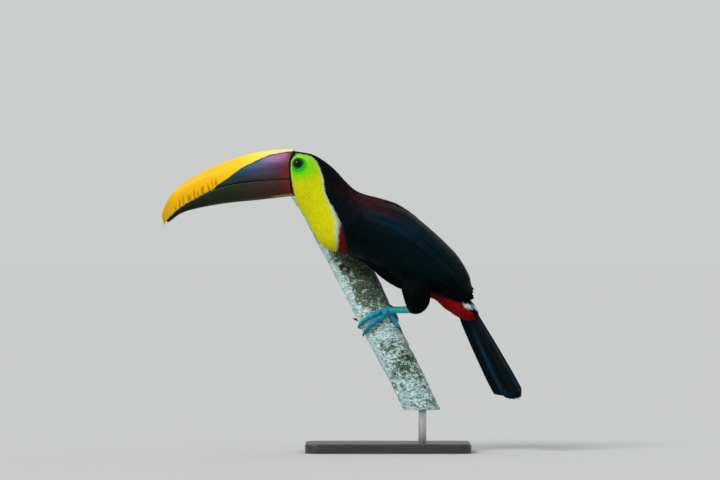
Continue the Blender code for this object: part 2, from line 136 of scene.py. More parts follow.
def addedPiece(name, add, **sizes):  # a new primitive with nothing else selected
    bpy.ops.object.select_all(action="DESELECT")
    add(**sizes)
    piece = bpy.context.object
    piece.name = name
    return piece


def nodeCopy(name, nodes):  # one merged mesh from copies of CAD nodes
    bpy.ops.object.select_all(action="DESELECT")
    for node in nodes:
        piece = bpy.data.objects.new(name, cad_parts[node].data.copy())
        bpy.context.scene.collection.objects.link(piece)
        piece.select_set(True)
    bpy.context.view_layer.objects.active = piece
    if len(nodes) > 1:
        bpy.ops.object.join()
    piece = bpy.context.view_layer.objects.active
    piece.name = name
    piece.data.materials.clear()
    editAll(piece)
    bpy.ops.mesh.customdata_custom_splitnormals_clear()
    bpy.ops.mesh.remove_doubles(threshold=0.01 * mm)
    bpy.ops.object.mode_set(mode="OBJECT")
    return piece


def wrappedGrid(name, around, along, place):
    # a grid rolled into a tube: place(around, along) gives metres for arrays of numbers from 0 to 1
    add = bpy.ops.mesh.primitive_grid_add
    piece = addedPiece(name, add, x_subdivisions=around, y_subdivisions=along, size=1)
    flat = pointsOf(piece)
    setPoints(piece, place(flat[:, 0] + 0.5, flat[:, 1] + 0.5))
    editAll(piece)
    bpy.ops.mesh.remove_doubles(threshold=0.02 * mm)
    bpy.ops.mesh.normals_make_consistent(inside=False)
    bpy.ops.object.mode_set(mode="OBJECT")
    return smoothShaded(piece)


def facesOf(piece):
    return [tuple(p.vertices) for p in piece.data.polygons]


def treeOf(piece):
    return BVHTree.FromPolygons(pointsOf(piece).tolist(), facesOf(piece))


def crumpled(points, size, octaves=3, seed=0.0):  # soft noise at each point, about -1 to 1
    shift = Vector((seed, seed * 1.7, -seed))
    return np.array([noise.fractal(Vector(p) / size + shift, 0.9, 2.1, octaves) for p in points])


def done(piece, paint, slot, *nodes):  # finish, slot and the CAD nodes that the piece stands for; the slot is not used, and the piece joins the body "root"
    piece.data.materials.append(paint.material)
    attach(piece, "root")
    if nodes:
        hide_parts(*nodes)
    return piece


class Wire:  # a shader socket that adds, subtracts and multiplies like a number
    def __init__(self, paint, socket):
        self.paint = paint
        self.socket = socket

    def math(self, operation, *values):
        return self.paint.node("Math", {"operation": operation}, dict(enumerate(values)))

    def __add__(self, other):
        return self.math("ADD", self, other)

    def __sub__(self, other):
        return self.math("SUBTRACT", self, other)

    def __rsub__(self, other):
        return self.math("SUBTRACT", other, self)

    def __mul__(self, other):
        return self.math("MULTIPLY", self, other)

    def __abs__(self):
        return self.math("ABSOLUTE", self)

    __radd__ = __add__
    __rmul__ = __mul__

    def sine(self):
        return self.math("SINE", self)

    def step(self, low, high):  # 0 below low, 1 above high, smooth between
        sockets = {"Value": self, "From Min": low, "From Max": high}
        return self.paint.node("MapRange", {"interpolation_type": "SMOOTHSTEP"}, sockets)


class Paint:  # a material, its Principled shader and ways to add nodes
    def __init__(self, name, **fixed):
        self.material = bpy.data.materials.new(name)
        self.material.use_nodes = True
        self.tree = self.material.node_tree
        self.shader = self.tree.nodes["Principled BSDF"]
        for socket, value in fixed.items():
            self.give(self.shader.inputs[socket.replace("_", " ")], value)

    def give(self, socket, value):
        if isinstance(value, Wire):
            self.tree.links.new(value.socket, socket)
        elif socket.type == "RGBA":
            socket.default_value = (*value, 1.0)
        else:
            socket.default_value = value

    def node(self, kind, settings=None, sockets=None, output=0):
        made = self.tree.nodes.new("ShaderNode" + kind)
        for name, value in (settings or {}).items():
            setattr(made, name, value)
        for name, value in (sockets or {}).items():
            self.give(made.inputs[name], value)
        return Wire(self, made.outputs[output])

    def mix(self, factor, first, second, blend="MIX"):
        settings = {"data_type": "RGBA", "blend_type": blend, "clamp_factor": True}
        return self.node("Mix", settings, {0: factor, 6: first, 7: second}, 2)

    def place(self):  # where each point is on the finished object
        return self.node("TexCoord", output="Object")

    def colour(self, name):
        return self.node("Attribute", {"attribute_name": name})

    def number(self, name):
        return self.node("Attribute", {"attribute_name": name}, output="Fac")

    def pair(self, name):  # the two numbers of a UV map
        split = self.node("SeparateXYZ", None, {0: self.node("UVMap", {"uv_map": name})})
        return split, Wire(self, split.socket.node.outputs[1])

    def grain(self, size, detail=3.0, roughness=0.55, stretch=None):  # noise with spots of this size (m)
        vector = self.place()
        if stretch:
            vector = self.node("Mapping", None, {"Vector": vector, "Scale": stretch})
        sockets = {"Vector": vector, "Scale": 1 / size, "Detail": detail, "Roughness": roughness}
        return self.node("TexNoise", None, sockets)

    def cells(self, size):  # soft round pebbles of this size (m)
        sockets = {"Vector": self.place(), "Scale": 1 / size, "Randomness": 1.0}
        return self.node("TexVoronoi", {"feature": "SMOOTH_F1"}, sockets, "Distance")

    def bumped(self, height, distance, strength):
        return self.node("Bump", None, {"Strength": strength, "Distance": distance, "Height": height})

    def wear(self, **sockets):  # feeds the shader's sockets
        for socket, value in sockets.items():
            self.give(self.shader.inputs[socket.replace("_", " ")], value)


studio = {
    "eyeHeight": 0.2692,  # metres, level with the bird
    "across": -0.0356,
    "distance": 7.0,
    "seenWidth": 0.9144,  # width of the view at the bird
    "sky": (0.600, 0.610, 0.612),  # also the backdrop
    "sun": 2.1,
    "sunFrom": (-0.66, -0.62, 0.80),
    "sunSpread": 24,  # degrees across, which sets how soft the shadows are
    "sunTint": (1.0, 0.98, 0.95),
    "rim": 0.28,
    "rimFrom": (0.55, 0.80, 0.60),
    "rimSpread": 50,
    "rimTint": (0.96, 0.98, 1.0),
    "floorRadius": 60,
    "floorTones": ((0.528, 0.535, 0.538), (0.554, 0.560, 0.563)),
    "film": 36,  # width of the camera's film (mm)
}


def makeCamera():
    camera = bpy.data.cameras.new("camera")
    camera.sensor_width = studio["film"]
    camera.lens = studio["film"] * studio["distance"] / studio["seenWidth"]
    camera.clip_end = studio["floorRadius"]
    holder = bpy.data.objects.new("camera", camera)
    holder.location = (studio["across"], -studio["distance"], studio["eyeHeight"])
    holder.rotation_euler = (math.pi / 2, 0, 0)
    bpy.context.scene.collection.objects.link(holder)
    bpy.context.scene.camera = holder


def makeSun(name, kind):
    lamp = bpy.data.lights.new(name, "SUN")
    lamp.energy = studio[kind]
    lamp.angle = math.radians(studio[kind + "Spread"])
    lamp.color = studio[kind + "Tint"]
    holder = bpy.data.objects.new(name, lamp)
    toward = Vector(studio[kind + "From"])
    holder.location = toward * 4
    holder.rotation_euler = toward.to_track_quat("Z", "Y").to_euler()
    bpy.context.scene.collection.objects.link(holder)


def makeStudio():
    makeSun("keyLight", "sun")
    makeSun("rimLight", "rim")
    world = bpy.data.worlds.new("studio")
    world.use_nodes = True
    sky = world.node_tree.nodes["Background"]
    sky.inputs["Color"].default_value = (*studio["sky"], 1)
    bpy.context.scene.world = world
    bpy.context.scene.view_settings.view_transform = "Standard"
    floor = addedPiece("floor", bpy.ops.mesh.primitive_circle_add, vertices=96, radius=studio["floorRadius"],
                       fill_type="TRIFAN", location=(0, 0, 0))
    paint = Paint("palePaper", Roughness=0.9, Specular_IOR_Level=0.1)
    shade = paint.grain(0.5, 2.0)
    paint.wear(Base_Color=paint.mix(shade, *studio["floorTones"]))
    floor.data.materials.append(paint.material)


makeCamera()
makeStudio()
print("camera and studio ready")


# How the feathers lie. Each guide: x, z (mm), lean below level (degrees), then a feather's length, width and
# spacing and the depth of the coat (mm)
lie = {
    "forehead": (-117, 386, 8, 3.6, 1.4, 1.05, 0.5),
    "crown": (-100, 380, 22, 6.0, 1.9, 1.30, 0.8),
    "face": (-112, 345, 74, 4.4, 1.3, 0.98, 0.5),
    "cheek": (-98, 352, 66, 5.2, 1.4, 1.05, 0.6),
    "chin": (-112, 322, 60, 5.2, 1.4, 1.05, 0.6),
    "throat": (-92, 295, 60, 7.2, 1.7, 1.22, 0.8),
    "bib": (-72, 270, 52, 8.5, 2.0, 1.40, 1.0),
    "nape": (-76, 352, 50, 8.5, 2.7, 1.75, 1.0),
    "hindNeck": (-55, 325, 42, 11.0, 3.6, 2.2, 1.3),
    "neckSide": (-62, 300, 48, 10.0, 3.2, 2.0, 1.2),
    "breast": (-52, 256, 34, 10.0, 3.0, 1.9, 1.2),
    "mantle": (-22, 318, 30, 13.0, 5.0, 2.8, 1.4),
    "shoulder": (-40, 290, 33, 9.0, 4.4, 2.4, 1.4),
    "back": (25, 290, 35, 14.0, 5.6, 3.1, 1.4),
    "rump": (75, 245, 40, 12.0, 4.6, 2.6, 1.3),
    "tailTop": (102, 200, 58, 8.5, 3.0, 1.9, 0.9),
    "belly": (0, 232, 28, 13.0, 3.8, 2.3, 1.4),
    "flank": (30, 218, 42, 12.0, 3.4, 2.2, 1.3),
    "thigh": (37, 200, 76, 9.0, 2.1, 1.5, 1.1),
    "ankle": (35, 180, 82, 5.0, 1.5, 1.1, 0.7),
    "vent": (62, 205, 38, 12.0, 3.4, 2.1, 1.3),
    "underTail": (92, 182, 42, 14.0, 4.0, 2.3, 1.3),
}
lieTable = np.array(list(lie.values()), float)
lieBlend = (30, 1.6)  # how softly (mm squared) and how steeply a guide gives way to its neighbours

# Where the plumage changes colour, in mm, and its colours
marking = {
    # rear edge of the yellow: height, place along the bird
    "bibEdge": ((254, -66), (257, -64), (269, -62.8), (277, -62.3), (286, -61.3), (291, -60.3),
                (298, -62.8), (308, -68.0), (318, -74.6), (330, -80), (347, -82), (360.5, -86.2),
                (369, -90.6), (374.5, -96), (377.2, -102), (378.6, -112.0), (380.0, -116.5), (382, -122)),
    "bibFoot": 254.5,  # the bib's lowest point
    # width of the pale border inside that edge, and of the red band outside it, by height
    "paleWidth": ((254, 0.8), (262, 2.2), (270, 5.0), (280, 7.5), (291, 9.3), (301, 7.6), (308, 5.6),
                  (318, 3.0), (332, 1.8), (350, 1.3), (380, 1.2)),
    "redWidth": ((240, 13.0), (255, 13.0), (262, 10.5), (269, 8.4), (280, 4.5), (289, 2.0), (295, 0.0),
                 (400, 0.0)),
    "deepFrom": (262, 300),  # the yellow is deepest below the first height and plain above the second
    # how far the line between bill and face reaches back at the sides, by height
    "faceCurve": ((325, 4.6), (344, 4.9), (352, 5.8), (364, 7.4), (372, 8.2)),
    "billBase": (-118.15, 19.6),  # place of that line at the middle, and the bill's half width there
    "foreheadLine": (0.4, 1.1),  # black round the bill's base, from full to none, behind that line
    "foreheadCap": (2.4, 368, 380),  # the black widens by this over the culmen, between two heights
    "faceLine": (1.8, 3.4),  # cream behind the black
    "faceBounds": (-100, 322),  # these two lines stay in front of the first and above the second
    "greenShift": (1.6, 0.0, -2.9),  # from the eye to the middle of the green
    "greenReach": (8.0, 14.2),  # full and no green, from there
    "limeReach": (10.0, 29.0),
    "limeRing": (12, 3, 6),  # a paler arc over the eye: its place, width and lowest height from there
    # upper edge of the red under the tail, and the middle of the white streak over it: place, height
    "ventEdge": ((52, 203.5), (59.3, 200.6), (77, 194.4), (95, 188), (100, 182.5), (105.3, 176.8),
                 (114, 170)),
    "ventFront": (52.0, 54.5),
    "ventTop": 215,
    "ventSides": (21, 23),  # it ends here across the bird, before the backs of the thighs
    "whiteLine": ((95, 186.8), (112, 182.6)),
    "whiteFrom": (95.0, 97.0),
    "whiteUnder": (-3.2, -2.4),
    "whiteOver": (2.0, 2.8),
    # long soft patches: middle x and z, fall of the patch, reach along and across it, strength; the mantle's
    # is its maroon, the other two are a painted teal sheen
    "mantlePatch": (-20, 313.5, 0.50, 32, 12, 1.35),
    "shoulderSheen": (6, 289, 0.40, 42, 10, 1.0),
    "wingSheen": (50, 262, 0.72, 40, 13, 0.14),
    "yellow": (0.70, 0.70, 0.003),
    "deepYellow": (0.76, 0.69, 0.003),
    "lime": (0.20, 0.74, 0.004),
    "green": (0.006, 0.50, 0.004),
    "cream": (0.62, 0.72, 0.16),
    "pale": (0.44, 0.64, 0.50),
    "paleEdge": (0.11, 0.24, 0.21),
    "red": (0.125, 0.002, 0.002),
    "ventRed": (0.23, 0.002, 0.003),
    "black": (0.0010, 0.0028, 0.0034),
    "maroon": (0.038, 0.0095, 0.0115),
    "nape": (0.0016, 0.0042, 0.0066),
    # painted sheen, laid over the black of the shoulder and wing
    "paintedTealSheen": (0.0014, 0.0155, 0.031),
    "wing": (0.0007, 0.0052, 0.0052),
    "white": (0.60, 0.72, 0.74),
}


def guided(points, column):  # a column of the guides, blended by nearness
    flat = points[:, [0, 2]] / mm
    gap = np.linalg.norm(flat[:, None] - lieTable[None, :, :2], axis=2)
    softness, steepness = lieBlend
    weight = 1 / (gap**2 + softness) ** steepness
    return (weight * lieTable[:, column]).sum(1) / weight.sum(1)


def flow(points, normals):  # unit directions in which feathers point, along the surface
    lean = np.radians(guided(points, 2))
    way = np.stack([np.cos(lean), np.zeros(len(lean)), -np.sin(lean)], 1)
    return unit(way - normals * (way * normals).sum(1)[:, None])


eyeBoxes = {word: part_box("eye_" + word) for _, word in sides}
eyeMiddle = {word: np.array((low + high) / 2) for word, (low, high) in eyeBoxes.items()}
eyeRadius = (eyeBoxes["left"][1].z - eyeBoxes["left"][0].z) / 2


def eyeDistance(points):  # from the middle of the nearer eye, in mm
    gaps = [np.linalg.norm(points - eyeMiddle[word], axis=1) for _, word in sides]
    return np.minimum(*gaps) / mm


def lineAt(name, at):  # a line of the markings, read at these places
    return np.interp(at, *np.array(marking[name]).T)


def inBib(points):  # mm inside the yellow's edge; below 0 outside it
    x, z = points[:, 0] / mm, points[:, 2] / mm
    return np.minimum(lineAt("bibEdge", z) - x, z - marking["bibFoot"])


def blend(colours, share, name):  # mixes a named colour in
    return colours + share[:, None] * (np.array(marking[name]) - colours)


def behindBill(points):  # mm behind the line where the bill meets the face
    x, y, z = (points / mm).T
    base, half = marking["billBase"]
    return x - base + lineAt("faceCurve", z) * (np.clip(abs(y), 0, half + 0.4) / half) ** 2


def softPatch(name, x, z):
    middleX, middleZ, fall, along, across, strength = marking[name]
    gap = x - middleX
    return strength * np.exp(-((gap / along) ** 2) - ((z - middleZ + fall * gap) / across) ** 2)


def backColours(colours, x, z):  # the black of the body, its maroon mantle, and a painted teal sheen over shoulder and wing
    colours = blend(colours, ease(-40, 40, x) * ease(215, 250, z) * 0.8, "wing")
    colours = blend(colours, (1 - ease(-60, -30, x)) * 0.8, "nape")
    colours = blend(colours, np.clip(softPatch("mantlePatch", x, z), 0, 0.97), "maroon")
    # painted sheen: teal patches over the shoulder and the wing
    sheen = softPatch("shoulderSheen", x, z) + softPatch("wingSheen", x, z)
    return blend(colours, np.clip(sheen, 0, 0.9), "paintedTealSheen")


def bibColours(colours, z, inside, soft):  # red band, pale border and yellow, from the edge inwards
    redWidth, paleWidth = lineAt("redWidth", z), lineAt("paleWidth", z)
    colours = blend(colours, ease(-redWidth - soft, -redWidth + soft, inside) * (redWidth > 0.2), "red")
    colours = blend(colours, ease(-soft, soft, inside), "pale")
    outer = ease(-soft, soft, inside) * (1 - ease(0.05 * paleWidth, 0.5 * paleWidth + 0.3, inside))
    colours = blend(colours, outer * ease(1.5, 6, paleWidth) * 0.75, "paleEdge")
    yellow = ease(0.10 * paleWidth, 1.05 * paleWidth + soft, inside)
    colours = blend(colours, yellow, "yellow")
    return blend(colours, yellow * 0.6 * (1 - ease(*marking["deepFrom"], z)), "deepYellow"), yellow


def eyeColours(colours, points, inside, yellow, soft):  # green round the eye, lime further out
    gaps = [(points - eyeMiddle[word] - np.array(marking["greenShift"]) * mm) / mm for _, word in sides]
    gap = np.where((np.linalg.norm(gaps[0], axis=1) < np.linalg.norm(gaps[1], axis=1))[:, None], *gaps)
    away = np.linalg.norm(gap, axis=1)
    spread = np.hypot(gap[:, 0] * 0.80, gap[:, 2] * np.where(gap[:, 2] < 0, 1.15, 0.7))
    lime = ease(-soft, soft + 1, inside) * 0.92 * (1 - ease(*marking["limeReach"], spread))
    colours = blend(colours, lime, "lime")
    place, width, lowest = marking["limeRing"]
    ring = yellow * 0.35 * np.exp(-(((away - place) / width) ** 2)) * (gap[:, 2] > lowest)
    colours = blend(colours, ring, "cream")
    return blend(colours, yellow * (1 - ease(*marking["greenReach"], away)), "green")


def plumageColour(points, soft=0.5):  # the markings, for skin and feathers alike
    x, y, z = (points / mm).T
    colours = backColours(np.tile(np.array(marking["black"]), (len(points), 1)), x, z)
    inside = inBib(points)
    colours, yellow = bibColours(colours, z, inside, soft)
    colours = eyeColours(colours, points, inside, yellow, soft)
    back = behindBill(points)
    front = (x < marking["faceBounds"][0]) & (z > marking["faceBounds"][1])
    colours = blend(colours, (1 - ease(*marking["faceLine"], back)) * 0.5 * front * (inside > 0), "cream")
    wider, low, high = marking["foreheadCap"]
    back = back - wider * ease(low, high, z)
    colours = blend(colours, (1 - ease(*marking["foreheadLine"], back)) * front, "black")
    vent = ease(*marking["ventFront"], x) * (z < marking["ventTop"])
    vent = vent * (1 - ease(*marking["ventSides"], abs(y)))
    colours = blend(colours, vent * (1 - ease(-soft, soft + 0.6, z - lineAt("ventEdge", x))), "ventRed")
    streak = z - lineAt("whiteLine", x)
    white = ease(*marking["whiteFrom"], x) * (1 - ease(*marking["whiteOver"], streak))
    return blend(colours, white * ease(*marking["whiteUnder"], streak), "white")


skinSizes = {
    "swell": 0.5,  # mm, so that the nodes fuse, and taken off again with the coat's depth
    "voxel": 1.4,
    "relax": 10,
    "underBill": -132.0,  # the skin is cut off here, inside the bill
    "gaze": (0.02, 1.0, -0.09),  # which way an eye looks, before the face's own direction is mixed in
    "gazeShare": 0.25,
    "fineReach": (17, 14),  # the mesh is made finer twice round an eye, within these distances
    "lidOpening": 5.85,  # mm from the eye's axis
    "openingStretch": 0.25,  # how much longer the opening is than high
    "ledge": 0.15,  # the lid's edge over the ball, and how deep the socket lies under it
    "socket": 1.4,
    "flatten": 0.6,  # how far the face is levelled round the eye
    # soft rings of bare skin round the eye: height, distance from the axis, width
    "folds": ((0.75, 7.9, 1.0), (-0.45, 10.1, 0.6), (0.25, 11.3, 0.7), (-0.22, 12.6, 0.5)),
    "wrinkle": 0.10,
    "wrinkles": 22,  # round the eye
    "shade": (0.55, 6.2, 6.9),  # painted shade in the eye's socket: how much darker the skin is up to the first distance; plain from the second
    "bareReach": (11, 14),
}
fleshNodes = ["head", "neck", "trunk", "wing_left", "wing_right", "thigh_left", "thigh_right", "tail_coverts"]


def meltedFlesh(name):
    # copies of the flesh nodes, fused and relaxed; the skin runs on a little under the bill
    piece = nodeCopy(name, [*fleshNodes, "bill_upper", "bill_lower"])
    applied(piece, "DISPLACE", strength=skinSizes["swell"] * mm, mid_level=0.0)
    applied(piece, "REMESH", mode="VOXEL", voxel_size=skinSizes["voxel"] * mm)
    editAll(piece)
    cut = (skinSizes["underBill"] * mm, 0, 0)
    bpy.ops.mesh.bisect(plane_co=cut, plane_no=(-1, 0, 0), use_fill=True, clear_outer=True)
    bpy.ops.object.mode_set(mode="OBJECT")
    applied(piece, "SMOOTH", factor=0.5, iterations=skinSizes["relax"])
    return piece


def gazeOf(tree, side, word):  # the eye's axis
    beside = eyeMiddle[word] + np.array((0, side * 9 * mm, 0))
    normal = np.array(tree.find_nearest(Vector(beside))[1])
    ahead = np.array(skinSizes["gaze"]) * (1, side, 1)
    return unit(skinSizes["gazeShare"] * normal + (1 - skinSizes["gazeShare"]) * ahead)


def refine(piece, near):  # splits the edges between these corners once
    shape = bmesh.new()
    shape.from_mesh(piece.data)
    shape.verts.ensure_lookup_table()
    edges = [e for e in shape.edges if near[e.verts[0].index] and near[e.verts[1].index]]
    bmesh.ops.subdivide_edges(shape, edges=edges, cuts=1, use_grid_fill=True)
    bmesh.ops.triangulate(shape, faces=[f for f in shape.faces if len(f.verts) > 4])
    shape.to_mesh(piece.data)
    shape.free()


def shapeLids(skin):  # finer mesh round each eye, then a socket, a swollen rim and folds
    tree = treeOf(skin)
    gazes = {word: gazeOf(tree, side, word) for side, word in sides}
    for word in gazes:
        for reach in skinSizes["fineReach"]:
            refine(skin, np.linalg.norm(pointsOf(skin) - eyeMiddle[word], axis=1) < reach * mm)
    points = pointsOf(skin)
    ball = eyeRadius / mm
    rim = math.sqrt(ball**2 - skinSizes["lidOpening"] ** 2) + skinSizes["ledge"]
    for word, gaze in gazes.items():
        offset = (points - eyeMiddle[word]) / mm
        height = offset @ gaze
        flat = offset - height[:, None] * gaze
        r = np.linalg.norm(flat, axis=1)
        near = (np.linalg.norm(offset, axis=1) < 20) & (height > -2)
        around = np.arctan2(flat[:, 2], flat[:, 0])
        opening = skinSizes["lidOpening"] + skinSizes["openingStretch"] * np.cos(2 * around)
        surface = np.median(height[near & (r > 8) & (r < 10)])
        deep = np.sqrt(np.maximum(ball**2 - r**2, 1)) - skinSizes["socket"]
        inner = deep + (rim - deep) * ease(opening - 0.7, opening, r)
        folds = sum(high * np.exp(-(((r - place) / wide) ** 2)) for high, place, wide in skinSizes["folds"])
        wrinkle = skinSizes["wrinkle"] * np.sin(around * skinSizes["wrinkles"] + 3 * np.sin(r * 1.3))
        wrinkle *= ease(7.5, 8.5, r) * (1 - ease(12, 15, r))
        levelled = height + (surface - height) * skinSizes["flatten"] * (1 - ease(8, 12, r))
        outer = levelled + folds + wrinkle
        shaped = inner + (outer - inner) * ease(opening, opening + 1.2, r)
        points += np.where(near, shaped - height, 0)[:, None] * gaze * mm
    setPoints(skin, points)
    return gazes


def skinPaint():
    paint = Paint("faceSkin", Subsurface_Weight=0.05, Subsurface_Radius=(0.6, 0.5, 0.1),
                  Subsurface_Scale=0.001, Specular_IOR_Level=0.15)
    hue, bare = paint.colour("plumage"), paint.number("bare")
    pores = paint.cells(0.0009)
    fine = paint.grain(0.0006, 4.0, 0.7)
    tone = paint.mix(pores.step(0.05, 0.75) * 0.45, hue, (0.9, 0.95, 0.55), "MULTIPLY")
    tone = paint.mix(fine.step(0.35, 0.75) * 0.25, tone, (0.55, 0.75, 0.4), "MULTIPLY")
    bump = paint.bumped(pores * 0.8 + fine * 0.5, 0.0006, 0.9)
    paint.wear(Base_Color=tone, Roughness=0.70 - bare * 0.22 + fine * 0.08, Normal=bump)
    return paint


def makeSkin():
    skin = meltedFlesh("skin")
    points, normals = pointsOf(skin), normalsOf(skin)
    setPoints(skin, points - normals * ((guided(points, 6) + skinSizes["swell"]) * mm)[:, None])
    applied(skin, "SMOOTH", factor=0.5, iterations=3)
    roots = skin.copy()  # a plain copy, without lids, on which the feathers are placed
    roots.data = skin.data.copy()
    gazes = shapeLids(skin)
    points = pointsOf(skin)
    away = eyeDistance(points)
    # painted shade: the skin darkens toward each eye, down into its socket
    socketShade, full, none = skinSizes["shade"]
    paintPoints(skin, "plumage", plumageColour(points) * (1 - socketShade * (1 - ease(full, none, away)))[:, None])
    numberPoints(skin, "bare", 1 - ease(*skinSizes["bareReach"], away))
    smoothShaded(skin)
    done(skin, skinPaint(), "face_skin", *fleshNodes)
    return skin, roots, gazes


skin, rootSkin, gazes = makeSkin()
print("skin ready", len(skin.data.polygons))


class Bed:  # the surface that feathers grow from
    def __init__(self, piece):
        self.points = pointsOf(piece)
        self.faces = facesOf(piece)
        self.tree = treeOf(piece)
        normals = normalsOf(piece)
        corner = np.array([f[:3] for f in self.faces])
        self.normals = unit(normals[corner].mean(1))
        for _ in range(4):  # softens the normals, so that neighbouring feathers lie alike
            shared = np.zeros_like(normals)
            for k in range(3):
                np.add.at(shared, corner[:, k], self.normals)
            self.normals = unit(unit(shared)[corner].mean(1))

    def nearest(self, points):
        spots = np.empty_like(points)
        index = np.empty(len(points), int)
        for k, p in enumerate(points):
            spot, _, face, _ = self.tree.find_nearest(Vector(p))
            spots[k] = spot
            index[k] = face
        return spots, self.normals[index]


def unwrapOf(piece):  # an unwrap of the skin's own shape, read at any root
    model = piece.copy()
    model.data = piece.data.copy()
    bpy.context.scene.collection.objects.link(model)
    applied(model, "DECIMATE", ratio=0.10)
    applied(model, "TRIANGULATE")
    editAll(model)
    bpy.ops.uv.smart_project(angle_limit=math.radians(66), island_margin=0.004)
    bpy.ops.object.mode_set(mode="OBJECT")
    corners = readAll(model.data.uv_layers.active.data, "uv", 2).reshape(-1, 3, 2)
    points, faces, tree = pointsOf(model), facesOf(model), treeOf(model)
    bpy.data.objects.remove(model)

    def read(roots):
        found = np.empty((len(roots), 2))
        for k, p in enumerate(roots):
            spot, _, face, _ = tree.find_nearest(Vector(p))
            a, b, c = points[list(faces[face])]
            e, f, g = b - a, c - a, np.array(spot) - a
            ee, ef, ff, ge, gf = e @ e, e @ f, f @ f, g @ e, g @ f
            area = max(ee * ff - ef * ef, 1e-18)
            v, w = (ff * ge - ef * gf) / area, (ee * gf - ef * ge) / area
            found[k] = corners[face].T @ np.array((1 - v - w, v, w))
        return found

    return read


def scatterRoots(bed, count):  # roots a spacing apart, closer where the feathers are smaller
    tri = []
    for f in bed.faces:
        tri.append(f[:3])
        if len(f) == 4:
            tri.append((f[0], f[2], f[3]))
    a, b, c = (bed.points[np.array(tri)[:, k]] for k in range(3))
    area = np.linalg.norm(np.cross(b - a, c - a), axis=1)
    density = area / guided((a + b + c) / 3, 5) ** 2
    pick = chance.choice(len(tri), count, p=density / density.sum())
    u, v = chance.random((2, count))
    u, v = np.where(u + v > 1, 1 - u, u), np.where(u + v > 1, 1 - v, v)
    spots = a[pick] + u[:, None] * (b - a)[pick] + v[:, None] * (c - a)[pick]
    clear = (guided(spots, 5) * mm) ** 2
    grid, kept = {}, []
    keys = np.floor(spots / (coat["cell"] * mm)).astype(int)
    for k, (x, y, z) in enumerate(keys):
        cells = ((i, j, h) for i in (x - 1, x, x + 1) for j in (y - 1, y, y + 1) for h in (z - 1, z, z + 1))
        near = (q for cell in cells for q in grid.get(cell, ()))
        p = spots[k]
        if all((p[0] - q[0]) ** 2 + (p[1] - q[1]) ** 2 + (p[2] - q[2]) ** 2 >= clear[k] for q in near):
            grid.setdefault((x, y, z), []).append(p)
            kept.append(k)
    return spots[kept]


def followed(bed, roots, lengths, rows):  # paths along the lie of the coat, on the surface
    spot, normal = bed.nearest(roots)
    paths, normals = [spot], [normal]
    turn = chance.normal(0, coat["turn"], len(roots))
    for _ in range(rows - 1):
        way = flow(spot, normal)
        way = way + np.cross(normal, way) * turn[:, None]
        spot, normal = bed.nearest(spot + unit(way) * (lengths / (rows - 1))[:, None])
        paths.append(spot)
        normals.append(normal)
    return np.stack(paths, 1), unit(np.stack(normals, 1))


def overAndUnder(values):  # values on the grid of each vane, then those of its under side again
    count = len(values)
    rest = values.shape[3:]
    inner = values[:, 1:-1, 1:-1].reshape(count, -1, *rest)
    return np.concatenate([values.reshape(count, -1, *rest), inner], 1)


def vaneFaces(rows, k):  # the two sides of a vane share their outer corners
    over = np.arange(rows * k).reshape(rows, k)
    below = over.copy()
    below[1:-1, 1:-1] = rows * k + np.arange((rows - 2) * (k - 2)).reshape(rows - 2, k - 2)
    return np.concatenate([
        np.stack([over[:-1, :-1], over[1:, :-1], over[1:, 1:], over[:-1, 1:]], -1).reshape(-1, 4),
        np.stack([below[:-1, :-1], below[:-1, 1:], below[1:, 1:], below[1:, :-1]], -1).reshape(-1, 4),
    ])


def meshOf(name, points, faces):  # an object from rows of points and of four corners
    mesh = bpy.data.meshes.new(name)
    mesh.vertices.add(len(points))
    mesh.vertices.foreach_set("co", points.astype(np.float32).ravel())
    mesh.loops.add(len(faces) * 4)
    mesh.loops.foreach_set("vertex_index", faces.astype(np.int32).ravel())
    mesh.polygons.add(len(faces))
    mesh.polygons.foreach_set("loop_start", np.arange(0, len(faces) * 4, 4, dtype=np.int32))
    mesh.update(calc_edges=True)
    piece = bpy.data.objects.new(name, mesh)
    bpy.context.scene.collection.objects.link(piece)
    return piece


def mapCorners(piece, name, spots, faces):  # a UV map from a place for each vertex
    layer = piece.data.uv_layers.new(name=name)
    layer.data.foreach_set("uv", spots.reshape(-1, 2)[faces].astype(np.float32).ravel())


